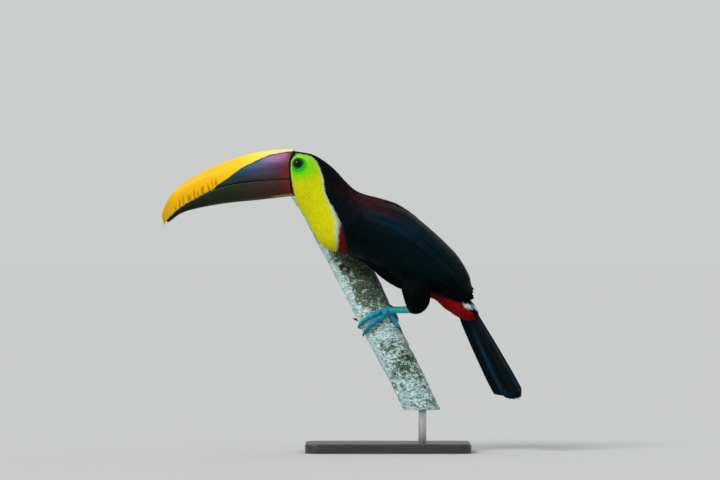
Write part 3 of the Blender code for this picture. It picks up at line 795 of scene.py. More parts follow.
def buildVanes(name, path, normal, halfWidth, colours, patches, kind):
    # closed thin blades. path, normal, colours: feathers, rows, 3; halfWidth: feathers, rows; patches: where
    # each feather is on the unwrap; kind: columns across, thickness (mm), bend and raggedness of the tip
    count, rows, _ = path.shape
    c = np.array(kind["columns"], float)
    k = len(c)
    way = unit(np.gradient(path, axis=1))
    side = unit(np.cross(normal, way))
    spread = c * halfWidth[:, :, None]
    body = (1 - abs(c) ** 1.6) * kind["thick"] * mm / 2
    drop = kind["cup"] * halfWidth[:, :, None] * c**2
    middle = path[:, :, None] + side[:, :, None] * spread[..., None] - normal[:, :, None] * drop[..., None]
    length = np.linalg.norm(path[:, -1] - path[:, 0], axis=1)
    fray = (chance.normal(0, 1, (count, k)) - 0.8 * abs(c)) * kind["ragged"] * length[:, None]
    middle[:, -1] += way[:, -1, None] * fray[..., None]
    middle[:, -2] += way[:, -2, None] * fray[..., None] * 0.45
    up = normal[:, :, None] * body[:, None]
    top = middle + up
    top[:, 0], top[:, -1] = middle[:, 0], middle[:, -1]
    under = (middle - up)[:, 1:-1, 1:-1]
    points = np.concatenate([top.reshape(count, -1, 3), under.reshape(count, -1, 3)], 1)
    each = points.shape[1]
    faces = (vaneFaces(rows, k)[None] + each * np.arange(count)[:, None, None]).reshape(-1, 4)
    piece = meshOf(name, points.reshape(-1, 3), faces)
    # where each vertex is on its vane: across and along in mm, and as shares
    step = np.linalg.norm(np.diff(path, axis=1), axis=2)
    run = np.concatenate([np.zeros((count, 1)), np.cumsum(step, 1)], 1)
    across, along = overAndUnder(spread) / mm, overAndUnder(np.repeat(run[:, :, None], k, 2)) / mm
    mapCorners(piece, "vane", np.stack([across, along], -1), faces)
    shareUp = overAndUnder(np.repeat(np.linspace(0, 1, rows)[None, :, None], k, 2))[0]
    shareSide = overAndUnder(np.repeat(c[None, None], rows, 1))[0]
    tile = np.stack([(shareSide + 1) / 2, shareUp], -1) * coat["patch"]
    mapCorners(piece, "OFBake", patches[:, None] + tile[None], faces)
    shade = overAndUnder(np.repeat(colours[:, :, None], k, 2)) * (0.80 + 0.24 * shareUp)[None, :, None]
    paintPoints(piece, "plumage", shade.reshape(-1, 3))
    numberPoints(piece, "edge", np.tile(abs(shareSide), count))
    return smoothShaded(piece, 75)


def featherPaint(name, look):
    paint = Paint(name, Sheen_Weight=look["sheen"], Sheen_Tint=look["sheenTint"], Sheen_Roughness=0.4,
                  Specular_IOR_Level=look["gloss"], Specular_Tint=look.get("glossTint", (1.0, 1.0, 1.0)))
    contrast = look["contrast"]
    hue = paint.colour("plumage")
    across, along = paint.pair("vane")
    side = paint.number("edge")
    lines = ((abs(across) * 0.8 + along) * (2 * math.pi / look["barbs"])).sine() * 0.5 + 0.5
    patchy = paint.grain(0.006, 3.0, 0.6)
    fine = paint.grain(0.0009, 2.0, 0.6)
    shaft = 1 - abs(across).step(0.06, 0.24)
    tone = paint.mix(lines * contrast * 0.6, hue, (0.45, 0.45, 0.45), "MULTIPLY")
    tone = paint.mix(patchy.step(0.35, 0.7) * contrast, tone, (0.60, 0.60, 0.60), "MULTIPLY")
    tone = paint.mix(shaft * contrast, tone, (0.35, 0.35, 0.35), "MULTIPLY")
    # painted highlight along the side edges of each vane
    tone = paint.mix(side.step(0.72, 0.98) * look["edgeHighlight"], tone, (0.020, 0.026, 0.032), "ADD")
    if "paintedSheenBand" in look:  # a painted blue sheen along one side of the shaft, fading in toward the tip
        start, end, colour = look["paintedSheenBand"]
        inside = across.step(start, start + 3.4) * (1 - across.step(end - 3.6, end))
        threads = (across * 3.7 + patchy * 5.0).sine() * 0.5 + 0.5
        tone = paint.mix(inside * along.step(18, 75) * (0.35 + threads * 0.65), tone, colour)
    bump = paint.bumped(lines * 0.5 + fine * 0.5 + shaft * 0.7, 0.00014, 0.6)
    paint.wear(Base_Color=tone, Roughness=look["rough"] + patchy * 0.12 + lines * 0.06, Normal=bump)
    return paint


def contourShape(rows, narrow):  # how wide a small feather is along its length
    s = np.linspace(0, 1, rows)
    if narrow:
        return np.maximum(np.sin(np.pi * np.minimum(s * 0.78 + 0.18, 0.97)) ** 0.9, 0.1)
    return np.maximum(np.sin(np.pi * np.minimum(s * 0.70 + 0.12, 0.90)) ** 0.8, 0.2)


coat = {
    "candidates": 260000,
    "cell": 4.2,  # mm, wider than any spacing
    "patch": 0.003,  # what one feather takes up on the unwrap
    "turn": 0.09,  # how much a feather may turn as it runs on (radians)
    "liftShare": 0.96,  # how far through the coat a tip rises
    "closeLift": 0.55,  # of that, for the yellow: fine close feathers that cast no specks of shade
    "clear": 0.08,  # of every feather over the skin (mm)
    "spread": {"length": 0.12, "width": 0.10, "lift": 0.16},
    "bareRadius": 10.4,  # no feathers this near the eye (mm)
    "bareLine": (0.3, 1.3),  # nor this near the bill: at throat and forehead, and beside the face
    "bareTop": (360, 372),  # between these heights the face turns into the forehead
    "wingSkipFrom": -16.0,  # the wing's own rows take over behind this x (mm)
    "wingSkipWave": (4, 0.4),  # how far that line waves, and how fast with height
    "wingSkipStray": 3,
    # here a feather's own colour would blur the edge of the red: behind the first x, or behind the second x
    # and below the height
    "plainFrom": (88, 46, 218),
}
# Which feathers make up which piece of the coat (mm, and brightness of their colour)
regions = {
    "yellow": (-16, 0.04, 20),  # least distance inside the bib's edge, least brightness, last x
    "red": (40, 0.1),  # first x, least brightness
    "head": (330, -50, 300),  # above the first height, or in front of the x and above the second height
    "leg": (3, 214),  # this near a thigh, below the height
    "backLine": (268, 0.62),  # the back lies above this height at x = 0, a line that falls toward the tail
    "mantle": -8,  # in front of this x
}
# barbs: spacing in mm; the band, a painted blue sheen: start and end across the vane in mm, and colour
# the edge value is the strength of a painted highlight along each vane's side edges
featherLooks = {
    "yellowFeathers": {"barbs": 0.40, "contrast": 0.08, "edgeHighlight": 0.0, "sheen": 0.04,
                       "sheenTint": (1.0, 0.95, 0.4), "rough": 0.60, "gloss": 0.06},
    "blackFeathers": {"barbs": 0.45, "contrast": 0.30, "edgeHighlight": 0.05, "sheen": 0.002,
                      "sheenTint": (0.5, 0.6, 0.7), "rough": 0.45, "gloss": 0.02},
    "redFeathers": {"barbs": 0.45, "contrast": 0.16, "edgeHighlight": 0.0, "sheen": 0.03,
                    "sheenTint": (1.0, 0.3, 0.25), "rough": 0.60, "gloss": 0.06},
    "wingFeathers": {"barbs": 0.60, "contrast": 0.40, "edgeHighlight": 0.18, "sheen": 0.002,
                     "sheenTint": (0.4, 0.6, 0.8), "rough": 0.36, "gloss": 0.06,
                     "glossTint": (0.35, 0.80, 1.0)},
    "tailVanes": {"barbs": 0.60, "contrast": 0.40, "edgeHighlight": 0.10, "sheen": 0.002,
                  "sheenTint": (0.4, 0.6, 0.8), "rough": 0.36, "gloss": 0.06, "glossTint": (0.35, 0.80, 1.0),
                  "paintedSheenBand": (-7.0, 1.6, (0.005, 0.036, 0.080))},
}
featherFinish = {name: featherPaint(name, look) for name, look in featherLooks.items()}
bed = Bed(rootSkin)
unwrap = unwrapOf(rootSkin)
legGuide = nodeCopy("legGuide", ["thigh_left", "thigh_right"])
legTree = treeOf(legGuide)
bpy.data.objects.remove(legGuide)

# Body rings under the wings, from the wrist back: x, z, half height, tilt, half width (mm, degrees)
flank = (
    (-67.3, 301.6, 42.7, 22.5, 33.5), (-55.2, 292.7, 41.8, 24, 37.5), (-40, 288.6, 41, 25, 41),
    (-22, 283, 42, 26, 43), (-5, 275, 43.7, 27.5, 44), (12, 261.6, 45, 29.5, 43.5),
    (30, 247.7, 43.4, 32.5, 41), (50, 234.3, 39, 34.5, 36.5), (69, 223, 32, 35, 30),
    (84.4, 209, 24.6, 36, 24), (95.5, 199.5, 18, 29, 19.5), (106.4, 196.5, 10.5, 14, 15),
    (110.6, 190.2, 7.5, 8, 11),
)
# Rows of the wing, under ones first. Each value runs from the lowest feather to the highest: root and tip as
# a place along the flank's rings and a height as a share of the ring's, half width and lift in mm
wingRows = {
    "primaries": {"count": 8, "rootAt": (5.2, 5.6), "root": (-0.56, -0.10), "tipAt": (9.8, 11.35),
                  "tip": (-0.70, -0.02), "half": (7.0, 7.5), "lift": (-0.9, -0.2), "blunt": 0.35},
    "secondaries": {"count": 10, "rootAt": (4.2, 3.9), "root": (-0.60, 0.62), "tipAt": (8.2, 11.1),
                    "tip": (-0.60, 0.62), "half": (7.5, 9.0), "lift": (0.0, 0.7), "blunt": 0.55},
    "tertials": {"count": 4, "rootAt": (3.6, 3.9), "root": (0.58, 0.90), "tipAt": (9.9, 10.8),
                 "tip": (0.56, 0.88), "half": (9.0, 9.5), "lift": (0.7, 1.0), "blunt": 0.5},
    "greaterCoverts": {"count": 15, "rootAt": (2.9, 3.1), "root": (-0.86, 0.78), "tipAt": (5.3, 5.9),
                       "tip": (-0.62, 0.84), "half": (6.2, 7.0), "lift": (0.9, 1.3), "blunt": 0.6},
    "medianCoverts": {"count": 15, "rootAt": (2.2, 2.4), "root": (-0.90, 0.70), "tipAt": (3.9, 4.4),
                      "tip": (-0.84, 0.78), "half": (5.4, 5.8), "lift": (1.2, 1.5), "blunt": 0.7},
}
wingVane = {
    "rows": 16,
    "columns": (-1, -0.7, -0.35, -0.06, 0, 0.06, 0.35, 0.7, 1),
    "thick": 0.45,
    "cup": 0.10,
    "ragged": 0.006,
    "stray": (0.05, 0.012),  # how far a root and a tip may be out along the rings, and a tip in height
    "tuck": 0.7,  # how deep a root lies (mm)
    "vary": 0.16,  # in shade, from feather to feather
    "reach": 3.1,  # mm over the body within which a vane covers the small feathers
    # along the wing's free edge a vane only counts if it clears the skin: behind the first x, or behind the
    # second x and below a height at x = 0 that falls
    "freeEdge": (72, 8, 237, 0.3),
    "clears": (0.8, -0.5),  # how far over the skin the search starts there and elsewhere (mm)
}


def onFlank(at, share, side, lift):  # a point over the body's side, and the way out of it
    x, z, high, tilt, wide = smoothRows(flank, at).T
    lean = np.radians(tilt)
    share = np.clip(share, -0.995, 0.995)
    across = (1 - abs(share) ** 2.2) ** (1 / 2.2)
    up = share * high
    spot = np.stack([x + up * np.sin(lean), side * across * wide, z + up * np.cos(lean)], 1)
    rise = np.sign(share) * abs(share) ** 1.2 / high
    away = across**1.2 / wide
    out = unit(np.stack([rise * np.sin(lean), side * away, rise * np.cos(lean)], 1))
    return (spot + out * np.reshape(lift, (-1, 1))) * mm, out


def growRow(name, row, side, word):
    many, rows = row["count"], wingVane["rows"]
    s = np.linspace(0, 1, rows)
    stray, strayUp = wingVane["stray"]
    jitter = chance.normal(0, stray, (4, many))
    paths, normals, halves = [], [], []
    for k, t in enumerate(np.linspace(0, 1, many)):
        rootAt, tipAt, root, tip, half, lift = (
            np.interp(t, (0, 1), row[key]) for key in ("rootAt", "tipAt", "root", "tip", "half", "lift"))
        at = rootAt + jitter[0, k] + (tipAt + jitter[1, k] - rootAt) * s
        share = root + (tip - root) * s + strayUp * jitter[2, k] / stray * s
        spot, out = onFlank(at, share, side, lift - wingVane["tuck"] * (1 - s) ** 2 - 0.25 * s)
        paths.append(spot)
        normals.append(out)
        grow = ease(-0.25, 0.30, s) * (1 - ease(1 - 0.5 * row["blunt"], 1.04, s) * 0.999)
        halves.append(half * mm * np.maximum(grow, 0.10))
    path = np.array(paths)
    tint = plumageColour(path.reshape(-1, 3)).reshape(path.shape)
    tint = tint * chance.normal(1, wingVane["vary"], many).clip(0.65, 1.4)[:, None, None]
    title = "wing" + name[0].upper() + name[1:] + word.title()
    piece = buildVanes(title, path, np.array(normals), np.array(halves), tint, unwrap(path[:, 0]), wingVane)
    return done(piece, featherFinish["wingFeathers"], "black_feather")


def underWing(roots):  # true where a long wing feather already lies over the root
    _, normals = bed.nearest(roots)
    x, _, z = (roots / mm).T
    behind, lowBehind, below, fall = wingVane["freeEdge"]
    free = (x > behind) | ((x > lowBehind) & (z < below - fall * x))
    starts = roots + normals * np.where(free, *wingVane["clears"])[:, None] * mm
    reach = wingVane["reach"] * mm
    rays = ((Vector(start), Vector(normal)) for start, normal in zip(starts, normals))
    return np.array([any(tree.ray_cast(*ray, reach)[0] is not None for tree in wingTrees) for ray in rays])


wingTrees = [treeOf(growRow(*row, side, word)) for side, word in sides for row in wingRows.items()]
print("wings ready")


# Small feathers: rows along, columns across, thickness (mm), bend, raggedness of the tip, how much their
# shades vary, and how far a feather keeps the one colour of its root
narrowVane = {"columns": (-1, 0, 1), "thick": 0.12, "cup": 0.22}
wideVane = {"columns": (-1, -0.5, 0, 0.5, 1), "thick": 0.18, "cup": 0.22}
smallVanes = {
    "down": {**narrowVane, "rows": 4, "ragged": 0.10, "vary": 0.04, "own": 0.0},
    "crown": {**narrowVane, "rows": 4, "ragged": 0.10, "vary": 0.16, "own": 0.5},
    "thigh": {**narrowVane, "rows": 4, "ragged": 0.12, "vary": 0.16, "own": 0.5},
    "belly": {**wideVane, "rows": 4, "ragged": 0.10, "vary": 0.16, "own": 0.5},
    "body": {**wideVane, "rows": 5, "ragged": 0.09, "vary": 0.16, "own": 0.5},
}


def growFeathers(name, spots, rootColours, kind, group):  # one piece of the coat
    look, rows = smallVanes[kind], smallVanes[kind]["rows"]
    many = len(spots)
    spread = coat["spread"]
    length = guided(spots, 3) * mm * chance.normal(1, spread["length"], many).clip(0.7, 1.35)
    width = guided(spots, 4) * mm * chance.normal(1, spread["width"], many).clip(0.75, 1.25)
    path, normal = followed(bed, spots, length, rows)
    share = np.linspace(0, 1, rows)
    lift = guided(spots, 6) * mm * coat["liftShare"] * chance.normal(1, spread["lift"], many).clip(0.5, 1.4)
    if group == "yellow":
        lift = lift * coat["closeLift"]
    rise = share**0.7 - 0.12 * ease(0.7, 1.0, share)
    path = path + normal * (coat["clear"] * mm + lift[:, None] * rise)[..., None]
    halfWidth = width[:, None] / 2 * contourShape(rows, len(look["columns"]) == 3)
    x, _, z = (spots / mm).T
    behind, lowBehind, below = coat["plainFrom"]
    plain = (x > behind) | ((x > lowBehind) & (z < below))
    own = np.where(plain, 0.0, look["own"])[:, None, None]
    tint = plumageColour(path.reshape(-1, 3)).reshape(path.shape) * (1 - own) + rootColours[:, None] * own
    tint = tint * chance.normal(1, look["vary"], many).clip(0.6, 1.5)[:, None, None]
    piece = buildVanes(name, path, normal, halfWidth, tint, unwrap(spots), look)
    done(piece, featherFinish[group + "Feathers"], group + "_feather")
    triangles = len(piece.data.polygons) * 2
    print(name, many, "feathers", triangles, "triangles")
    return triangles


def growCoat():
    roots = scatterRoots(bed, coat["candidates"])
    x, _, z = (roots / mm).T
    onWing = underWing(roots)
    low, high = coat["bareLine"]
    bareLine = low + (high - low) * (1 - ease(*coat["bareTop"], z)) * (z > marking["faceBounds"][1])
    wave, pace = coat["wingSkipWave"]
    front = coat["wingSkipFrom"] + wave * np.sin(z * pace)
    front = front + chance.normal(0, coat["wingSkipStray"], len(roots))
    keep = (eyeDistance(roots) > coat["bareRadius"]) & ~(onWing & (x > front))
    roots = roots[keep & (behindBill(roots) > bareLine)]
    x, _, z = (roots / mm).T
    colours = plumageColour(roots)
    bright = colours.max(1)
    group = np.full(len(roots), "black", dtype=object)
    inside, least, last = regions["yellow"]
    group[(inBib(roots) > inside) & (bright > least) & (x < last)] = "yellow"
    first, least = regions["red"]
    group[(x > first) & (bright > least)] = "red"
    face = z > marking["faceBounds"][1]
    crownZ, napeX, napeZ = regions["head"]
    head = (z > crownZ) | ((x < napeX) & (z > napeZ))
    near, below = regions["leg"]
    leg = np.array([legTree.find_nearest(Vector(p))[3] < near * mm for p in roots]) & (z < below)
    start, fall = regions["backLine"]
    above = z > start - fall * x
    mantle = x < regions["mantle"]
    # each piece: colour group, which roots, kind of feather
    parts = {
        "featherFace": ("yellow", face, "down"),
        "featherBib": ("yellow", ~face, "down"),
        "featherHead": ("black", head, "crown"),
        "featherMantle": ("black", ~head & above & mantle, "body"),
        "featherBack": ("black", ~head & above & ~mantle, "body"),
        "featherBelly": ("black", ~head & ~above & ~leg, "belly"),
        "featherThigh": ("black", ~head & ~above & leg, "thigh"),
        "featherVent": ("red", x > 0, "body"),
    }
    total = 0
    for name, (colour, where, kind) in parts.items():
        chosen = (group == colour) & where
        total += growFeathers(name, roots[chosen], colours[chosen], kind, colour)
    print("coat", total, "triangles")


growCoat()


tailShape = {
    "root": (93.2, 0.0, 196.9),
    "tip": (161.9, 0.0, 67.9),
    "skew": 8.4,  # how far the near edge reaches beyond the middle at the tip
    "roll": 41.0,
    "pairs": 5,
    "halfWidths": ((0, 12.5), (0.18, 18.6), (0.45, 22.8), (0.75, 26.2), (1.0, 26.8)),  # of the whole tail
    "sag": 3.0,
    "stack": 3.6,  # height from the lowest feather to the highest
    "vane": 10.4,  # half width of one feather
    "innermost": 0.13,  # where the middle feathers lie, as a share of the half width
    "splay": 0.16,  # how far the outer feathers tip over
    "graduation": 0.05,  # how much shorter the outer feathers are
    "tone": (0.0020, 0.0060, 0.0070),
    "vary": 0.08,
    "rows": 30,
    "columns": (-1, -0.8, -0.55, -0.28, -0.06, 0, 0.06, 0.28, 0.55, 0.8, 1),
    "thick": 0.6,
    "cup": 0.14,
    "ragged": 0.011,
}


def growTail():
    root, tip = np.array(tailShape["root"]), np.array(tailShape["tip"])
    way = unit(tip - root)
    up, level = np.array([-way[2], 0.0, way[0]]), np.array((0.0, 1.0, 0.0))
    roll = math.radians(tailShape["roll"])
    wide = math.cos(roll) * level - math.sin(roll) * up
    deep = math.cos(roll) * up + math.sin(roll) * level
    rows, pairs = tailShape["rows"], tailShape["pairs"]
    s = np.linspace(0, 1, rows)
    full = np.interp(s, *np.array(tailShape["halfWidths"]).T)
    vane = tailShape["vane"] * (0.55 + 0.45 * ease(0, 0.35, s))
    end = 1 - ease(0.95, 1.02, s) ** 1.5 * 0.999
    half = vane * mm * np.maximum((0.45 + 0.55 * ease(-0.1, 0.25, s)) * end, 0.08)
    paths, normals = [], []
    for pair in range(pairs):
        outer = pair / (pairs - 1)  # 0 for the middle pair, 1 for the outermost
        run = s * (1 - tailShape["graduation"] * outer**1.5)
        width = np.interp(run, s, full)
        for side in (-1, 1):
            offset = side * (width - vane) * (tailShape["innermost"] + outer * (1 - tailShape["innermost"]))
            height = tailShape["stack"] * (0.5 - outer) + side * 0.12
            height = height * (1 - 0.35 * s) - tailShape["sag"] * (offset / 22) ** 2
            reach = run * np.linalg.norm(tip - root) - tailShape["skew"] * run**2 * offset / width
            spine = root + np.outer(reach, way)
            paths.append((spine + np.outer(offset, wide) + np.outer(height, deep)) * mm)
            normals.append(np.tile(unit(deep + side * tailShape["splay"] * outer * wide), (rows, 1)))
    path = np.array(paths)
    count = len(path)
    tone = np.array(tailShape["tone"]) * chance.normal(1, tailShape["vary"], count)[:, None]
    piece = buildVanes("tailFeathers", path, np.array(normals), np.tile(half, (count, 1)),
                       np.repeat(tone[:, None], rows, 1), unwrap(path[:, 0]), tailShape)
    done(piece, featherFinish["tailVanes"], "black_feather", "tail")


growTail()
print("tail ready")


# From its base to its tip: culmen x, z, cutting edge x, z, lower edge x, z, half width (mm)
billRows = (
    (-117.5, 385.3, -118.3, 346.5, -118.7, 325.4, 19.6), (-149.9, 383.1, -149.9, 345.2, -147.3, 322.0, 18.6),
    (-180.5, 377.2, -174.0, 343.2, -170.2, 319.4, 17.2), (-211.6, 366.3, -196.8, 340.0, -191.8, 317.4, 15.2),
    (-239.9, 353.5, -221.0, 333.0, -214.6, 314.5, 12.6), (-262.7, 339.1, -245.1, 320.9, -241.3, 309.5, 9.4),
    (-278.4, 322.4, -264.2, 309.4, -262.3, 303.2, 6.0), (-286.6, 303.7, -278.8, 296.4, -277.5, 292.6, 2.9),
)
bill = {
    "hook": (-286.6, 296.4, -282.0, 292.4, -282.0, 292.4, 1.7),
    "tip": (-284.3, 287.9, -284.2, 287.9, -284.2, 287.9, 0.15),
    "lowerTip": (-281.2, 294.4, -281.0, 293.2, -280.7, 292.2, 0.2),
    "rows": (300, 240),  # of the meshes of the upper and the lower mandible, and columns round them
    "around": (72, 60),
    "body": 0.84,  # share of the rows before the hook, and of the columns on the outer side
    "outer": 0.82,
    "length": 170,  # for what is measured along it, and the half width of its base
    "baseHalf": 19,
    "roundness": 2.45,
    "lowerWidth": 0.98,
    "curveShare": 0.25,  # how much of the bill takes part in the curve of its base
    "parting": 0.65,  # how far the base stands off the face
    "behind": 3.2,  # how deep the closed back of a mandible lies
    "seam": 0.03,  # half the slit between the mandibles
    "vault": (0.10, -0.05),  # how high the closed inner sides of the upper and the lower mandible rise
    "rim": (0.06, 1.5, 1.0),  # raised rim round the base, then a groove: height, place, width
    "groove": (-0.25, 3.6, 0.9),
    "ridgeDip": (0.035, 0.80, 0.12),  # a shallow dip under the ridge of the culmen
    "notchDepth": 0.60,
    "notchLength": 6.3,
    # strokes of old wear over the cutting edge: spacing, first and last place, length
    "strokes": {"every": 6.0, "from": -278.0, "to": -198.0, "length": 20.0},
    "paintFrom": -118.2,  # the dark and rusty tones at the base are measured from here
    # border of the yellow along the upper bill: place, height
    "border": ((-222, 333), (-217.2, 337.8), (-205.1, 346.5), (-195.6, 353.7), (-186.7, 359.8),
               (-174.6, 366.5), (-162.6, 372.1), (-151.6, 376.8), (-130.8, 381.0), (-117, 382.2)),
    # dark horn by place along, with a painted reflection of the sky, blue and lilac, strongest under the
    # border: under the border, half way, at the cutting edge, at the lower edge
    "darkTonesWithReflection": (
        (-262, (0.004, 0.014, 0.004), (0.004, 0.014, 0.004), (0.004, 0.014, 0.004), (0.002, 0.005, 0.002)),
        (-226, (0.007, 0.028, 0.008), (0.007, 0.028, 0.008), (0.012, 0.026, 0.008), (0.009, 0.020, 0.005)),
        (-199, (0.012, 0.080, 0.140), (0.012, 0.042, 0.048), (0.013, 0.030, 0.012), (0.012, 0.024, 0.006)),
        (-180, (0.036, 0.120, 0.250), (0.022, 0.046, 0.078), (0.026, 0.030, 0.019), (0.024, 0.024, 0.010)),
        (-164, (0.120, 0.165, 0.310), (0.044, 0.056, 0.110), (0.042, 0.030, 0.024), (0.038, 0.022, 0.010)),
        (-148, (0.330, 0.195, 0.400), (0.074, 0.046, 0.100), (0.056, 0.026, 0.020), (0.050, 0.018, 0.009)),
        (-134, (0.420, 0.180, 0.380), (0.100, 0.036, 0.080), (0.066, 0.021, 0.017), (0.064, 0.015, 0.008)),
        (-124, (0.340, 0.105, 0.220), (0.110, 0.024, 0.050), (0.085, 0.018, 0.015), (0.082, 0.014, 0.007)),
    ),
    # yellow horn by place along; the paler cream toward the base, where only the top of the culmen is yellow,
    # is partly painted highlight
    "brightTonesWithHighlight": (
        (-286, (0.52, 0.31, 0.004)), (-268, (0.80, 0.45, 0.002)), (-225, (0.92, 0.50, 0.000)),
        (-190, (0.94, 0.60, 0.004)), (-165, (0.92, 0.74, 0.080)), (-140, (0.84, 0.78, 0.300)),
        (-120, (0.76, 0.74, 0.340)),
    ),
}


def billForm(upper):  # the shape of a mandible, as a function of shares round it and along it
    ends = [bill["hook"], bill["tip"]] if upper else [bill["lowerTip"]]
    table = np.array([*billRows, *ends])
    last = len(billRows) - 1
    body, outer, steps = bill["body"], bill["outer"], bill["rows"][not upper]

    def ring(name, run):  # a raised or sunk ring round the base
        height, middle, width = bill[name]
        return height * np.exp(-((run - middle) / width) ** 2)

    def place(u, v):
        t = np.where(v < body, v / body * last, last + (v - body) / (1 - body) * len(ends))
        back = v < 0.5 / steps
        t = np.where(back, 0, t)
        row = smoothRows(table, t)
        share = t / last
        outside = u < outer
        across, up = roundedPair(np.where(outside, u / outer, 0) * math.pi, bill["roundness"])
        up = abs(up)
        inward = -1 + (u - outer) / (1 - outer) * 2  # from edge to edge over the closed inside
        across = np.where(outside, across, inward)
        edge = row[:, 2:4]
        crest = row[:, 0:2] if upper else row[:, 4:6]
        reach = np.linalg.norm(crest - edge, axis=1)
        toward = (crest - edge) / np.maximum(reach, 1e-6)[:, None]
        rise = np.where(outside, up, bill["vault"][not upper] * (1 - inward**2)) * reach
        seam = np.where(outside, bill["seam"] * (1 - ease(0, 3, rise)), bill["seam"] + 0.1)
        wave = row[:, 2] / bill["notchLength"] * 2 * math.pi + 0.9 * np.sin(row[:, 2] * 0.13)
        depth = bill["notchDepth"] * (0.5 + 0.5 * np.sin(wave)) ** 3 * (1 - ease(0.5, 3.2, rise))
        depth = depth * ease(0.18, 0.4, share) * (1 - ease(last, last + 0.6, t)) * (1.0 if upper else 0.15)
        height = np.where(outside, np.maximum(rise + (depth + seam), 0), seam + rise)
        x, z = (edge + toward * height[:, None]).T
        forward = lineAt("faceCurve", z) * np.maximum(0, 1 - share / bill["curveShare"]) ** 2
        run = share * bill["length"]
        width = row[:, 6] * (1.0 if upper else bill["lowerWidth"])
        y = across * width * (1 + (ring("rim", run) + ring("groove", run)) / bill["baseHalf"])
        if upper:
            deep, middle, wide = bill["ridgeDip"]
            y = y * (1 - deep * np.exp(-((up - middle) / wide) ** 2) * (1 - 0.5 * share))
        x = x - bill["parting"] * (1 - ease(0, 0.05, share)) - forward * across**2
        inside = edge + toward * (reach / 3)[:, None]
        x = np.where(back, inside[:, 0] - bill["behind"], x)
        return np.stack([x, np.where(back, 0, y), np.where(back, inside[:, 1], z)], 1) * mm

    return place


def billTones(name, x):  # the columns of a table of tones, read at these places along the bill
    places = [row[0] for row in bill[name]]
    tones = np.array([row[1:] for row in bill[name]])
    return [np.stack([np.interp(x, places, channel) for channel in column.T], 1)
            for column in tones.transpose(1, 0, 2)]


def wearStrokes(x, high):  # strokes of wear, by place and height over the cutting edge
    wear = bill["strokes"]
    beat = np.cos((x + 1.3 * np.sin(x * 0.31)) * 2 * math.pi / wear["every"] + 0.12 * abs(high))
    worn = ease(wear["from"], wear["from"] + 16, x) * (1 - ease(wear["to"] - 26, wear["to"], x))
    reach = wear["length"] * (0.72 + 0.28 * np.sin(x * 0.83 + 1.0) * np.sin(x * 0.37)) * (0.35 + 0.65 * worn)
    span = ease(1.4, 3.0, high) * (1 - ease(0.45 * reach, reach, high))
    return ease(-0.55, 0.75, beat) * worn**0.5 * span


def makeMandible(name, upper):
    piece = wrappedGrid(name, bill["around"][not upper], bill["rows"][not upper], billForm(upper))
    x, y, z = (pointsOf(piece) / mm).T
    lineZ = np.interp(x, *np.array(bill["border"]).T)
    lineZ = np.where(x < bill["border"][0][0], -999, lineZ)  # all yellow from here to the tip
    above = np.clip((z - lineZ) * 0.85, -20, 20) if upper else np.full(len(x), -20.0)
    numberPoints(piece, "aboveBorder", above)
    places = smoothRows(np.array(billRows), np.linspace(0, len(billRows) - 1, 200))
    edgeZ = np.interp(x, places[::-1, 2], places[::-1, 3])
    keelZ = np.interp(x, *np.array(billRows)[::-1, 4:6].T)
    numberPoints(piece, "fromEdge", np.clip(abs(z - edgeZ), 0, 30) + 12 * (1 - ease(-283, -279, x)))
    numberPoints(piece, "stroke", wearStrokes(x, z - edgeZ) * upper)
    forward = lineAt("faceCurve", z) * (y / marking["billBase"][1]) ** 2
    numberPoints(piece, "fromBase", np.clip(bill["paintFrom"] - forward - x, -2, 40))
    numberPoints(piece, "fromKeel", np.clip(z - keelZ, -1, 20) + 20 * upper)
    top, middle, edge, low = billTones("darkTonesWithReflection", x)
    if upper:
        topZ = np.where(lineZ < 0, edgeZ + 10, lineZ)
        share = np.clip((z - edgeZ) / np.maximum(topZ - edgeZ, 4), 0, 1)[:, None]
        # painted reflection of the sky: bluer and lilac toward the border, over chestnut and olive horn at
        # the cutting edge
        dark = edge + ease(0.0, 0.45, share) * (middle - edge)
        dark = dark + ease(0.45, 0.92, share) * (top - dark)
    else:
        dark = edge + ease(0, 16, edgeZ - z)[:, None] * (low - edge)
    paintPoints(piece, "darkHornWithReflection", dark)
    paintPoints(piece, "brightHornWithHighlight", billTones("brightTonesWithHighlight", x)[0])
    return piece


